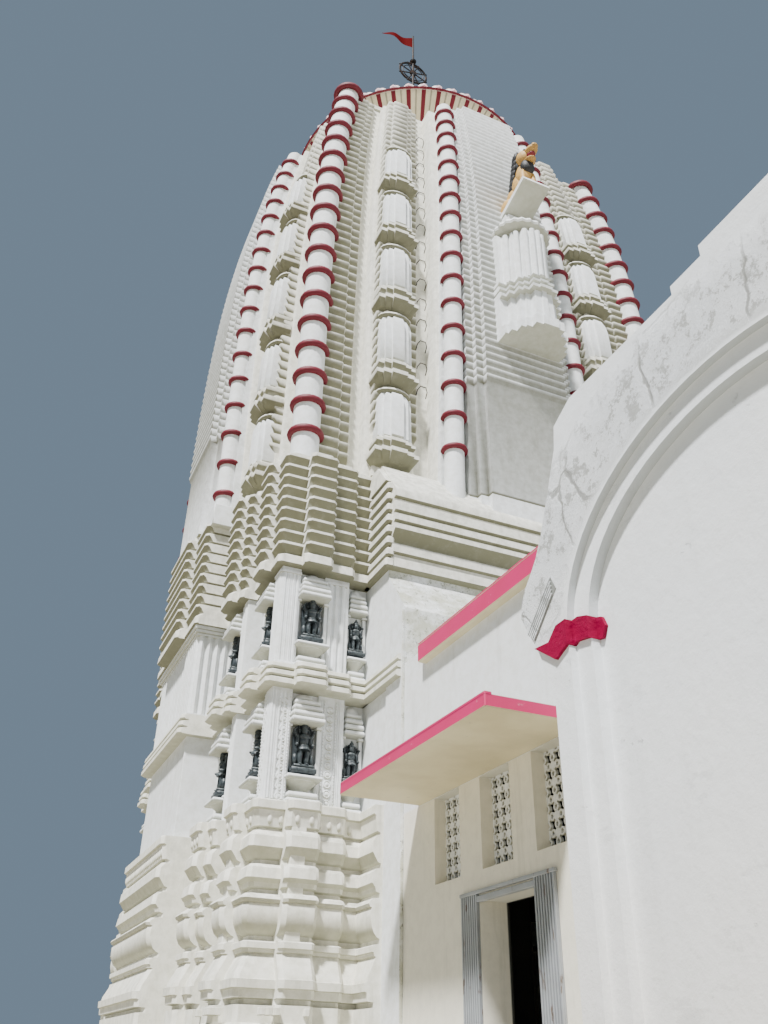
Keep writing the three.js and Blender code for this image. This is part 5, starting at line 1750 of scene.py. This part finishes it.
class TEMPLE_OT_stage(Operator):
    """Adds the plain floor, the soft light and the camera of the photograph"""

    bl_idname = "temple.stage"
    bl_label = "Stage"

    # The second sun fills the shadows with this share of the first one's strength
    FILL_SHARE = 0.08

    def execute(self, context):
        stage = context.scene.temple_stage
        form = Form()
        form.box((-160, -160, -0.2), (160, 160, -0.002))
        mesh = form.mesh("plain_floor")
        surface = Surface("plain_floor", 0.9)
        surface.finish(Base_Color=stage.floor_colour)
        mesh.materials.append(surface.material)
        floor = bpy.data.objects.new("plain_floor", mesh)
        context.scene.collection.objects.link(floor)
        world = bpy.data.worlds.new("soft_light")
        world.use_nodes = True
        background = world.node_tree.nodes["Background"]
        background.inputs["Color"].default_value = (*stage.sky_colour, 1)
        background.inputs["Strength"].default_value = stage.sky_strength
        context.scene.world = world
        self.sun("key", (-0.42, -0.36, 0.84), stage.key_strength, 5, context)
        self.sun("fill", (0.5, -0.8, 0.25), stage.key_strength * self.FILL_SHARE, 60, context)
        self.camera(stage, context)
        return {"FINISHED"}

    def sun(self, name, towards, strength, spread, context):
        light = bpy.data.lights.new(name, "SUN")
        light.energy = strength
        light.angle = math.radians(spread)
        lamp = bpy.data.objects.new(name, light)
        lamp.rotation_euler = Vector(towards).to_track_quat("Z", "Y").to_euler()
        context.scene.collection.objects.link(lamp)

    def camera(self, stage, context):
        yaw, pitch, roll = stage.yaw, stage.pitch, stage.roll
        flat = math.cos(pitch)
        ahead = Vector((math.sin(yaw) * flat, math.cos(yaw) * flat, math.sin(pitch)))
        level = Vector((math.cos(yaw), -math.sin(yaw), 0))
        down = ahead.cross(level)
        right = level * math.cos(roll) + down * math.sin(roll)
        under = down * math.cos(roll) - level * math.sin(roll)
        data = bpy.data.cameras.new("photo_camera")
        data.lens = stage.lens
        data.clip_end = 500
        camera = bpy.data.objects.new("photo_camera", data)
        place = Matrix((right, -under, -ahead)).transposed().to_4x4()
        camera.matrix_world = Matrix.Translation(stage.camera_place) @ place
        context.scene.collection.objects.link(camera)
        context.scene.camera = camera


class TempleSizes(PropertyGroup):
    """Sizes that a user may want to change."""

    ring_thickness: FloatProperty(
        name="Ring Thickness", description="Height of a crimson ring on a column",
        default=0.134, min=0.02, max=0.3, unit="LENGTH")


def colour_of(name, description, default):
    return FloatVectorProperty(name=name, description=description, default=default,
                               subtype="COLOR", min=0, max=1)


def angle_of(name, description, degrees):
    return FloatProperty(name=name, description=description, default=math.radians(degrees),
                         subtype="ANGLE")


class TempleColours(PropertyGroup):
    """Colours of the finishes."""

    white: colour_of("White", "Fresh limewash", (0.87, 0.885, 0.89))
    aged: colour_of("Aged White", "Weathered limewash on mouldings", (0.84, 0.82, 0.73))
    # The underside and groove colours are painted shade on faces that look down and in the rolls'
    # grooves; the limewash also tints its random warm patches with them.
    shade: colour_of("Underside", "Stain on faces that look down", (0.38, 0.375, 0.26))
    groove: colour_of("Groove", "Stain in the grooves of the rolls", (0.20, 0.195, 0.125))
    cream: colour_of("Cream", "Cream limewash", (0.72, 0.66, 0.50))
    crimson: colour_of("Crimson", "Paint of the rings", (0.15, 0.0005, 0.012))
    magenta: colour_of("Magenta", "Paint of the capital bands", (0.27, 0.0002, 0.04))
    pink: colour_of("Pink", "Paint of the slab edges", (0.58, 0.015, 0.13))
    stone: colour_of("Stone", "Black stone of the figures", (0.010, 0.014, 0.018))
    iron: colour_of("Iron", "Wheel, pole and hooks", (0.012, 0.012, 0.012))
    cloth: colour_of("Cloth", "The flag", (0.10, 0.0001, 0.0006))
    gate: colour_of("Gate Paint", "Grey paint of the folded gates", (0.38, 0.40, 0.42))
    flags: colour_of("Flags", "Stone of the floor", (0.34, 0.32, 0.29))
    lion: colour_of("Lion", "Yellow plaster of the lion", (0.62, 0.37, 0.10))


class TempleStage(PropertyGroup):
    """Light and camera."""

    key_strength: FloatProperty(
        name="Key Light", description="Strength of the soft sun", default=9.5, min=0)
    sky_strength: FloatProperty(
        name="Sky Light", description="Strength of the even light", default=0.31, min=0)
    sky_colour: colour_of("Sky", "Colour of the plain backdrop", (0.54, 0.74, 0.98))
    floor_colour: colour_of("Ground", "Colour of the plain floor", (0.36, 0.33, 0.26))
    lens: FloatProperty(
        name="Lens", description="Focal length in millimetres", default=32.02, min=5, unit="CAMERA")
    yaw: angle_of("Yaw", "Turn of the camera to the right", 23.57)
    pitch: angle_of("Pitch", "Tilt of the camera upwards", 31.57)
    roll: angle_of("Roll", "Lean of the camera", -1.18)
    camera_place: FloatVectorProperty(
        name="Camera Place", description="Where the camera stands", default=(-8.45, -17.585, 1.5),
        unit="LENGTH")


OPERATORS = (
    TEMPLE_OT_tower, TEMPLE_OT_niches, TEMPLE_OT_spire, TEMPLE_OT_panels, TEMPLE_OT_columns,
    TEMPLE_OT_block, TEMPLE_OT_crown, TEMPLE_OT_wheel, TEMPLE_OT_vestibule, TEMPLE_OT_passage,
    TEMPLE_OT_hall, TEMPLE_OT_floor, TEMPLE_OT_stage,
)


class TEMPLE_PT_sidebar(Panel):
    bl_idname = "TEMPLE_PT_sidebar"
    bl_label = "Whitewashed Temple"
    bl_space_type = "VIEW_3D"
    bl_region_type = "UI"
    bl_category = "Temple"

    def draw(self, context):
        for operator in OPERATORS:
            self.layout.operator(operator.bl_idname)
        scene = context.scene
        for group in (scene.temple_sizes, scene.temple_colours, scene.temple_stage):
            box = self.layout.box()
            for name in group.__annotations__:
                box.prop(group, name)


CLASSES = (TempleSizes, TempleColours, TempleStage, *OPERATORS, TEMPLE_PT_sidebar)


def register():
    for kind in CLASSES:
        bpy.utils.register_class(kind)
    bpy.types.Scene.temple_sizes = PointerProperty(type=TempleSizes)
    bpy.types.Scene.temple_colours = PointerProperty(type=TempleColours)
    bpy.types.Scene.temple_stage = PointerProperty(type=TempleStage)


def unregister():
    for name in ("temple_sizes", "temple_colours", "temple_stage"):
        delattr(bpy.types.Scene, name)
    for kind in reversed(CLASSES):
        bpy.utils.unregister_class(kind)


def main():
    register()
    for operator in OPERATORS:
        family, name = operator.bl_idname.split(".")
        getattr(getattr(bpy.ops, family), name)()


if __name__ == "__main__":
    main()
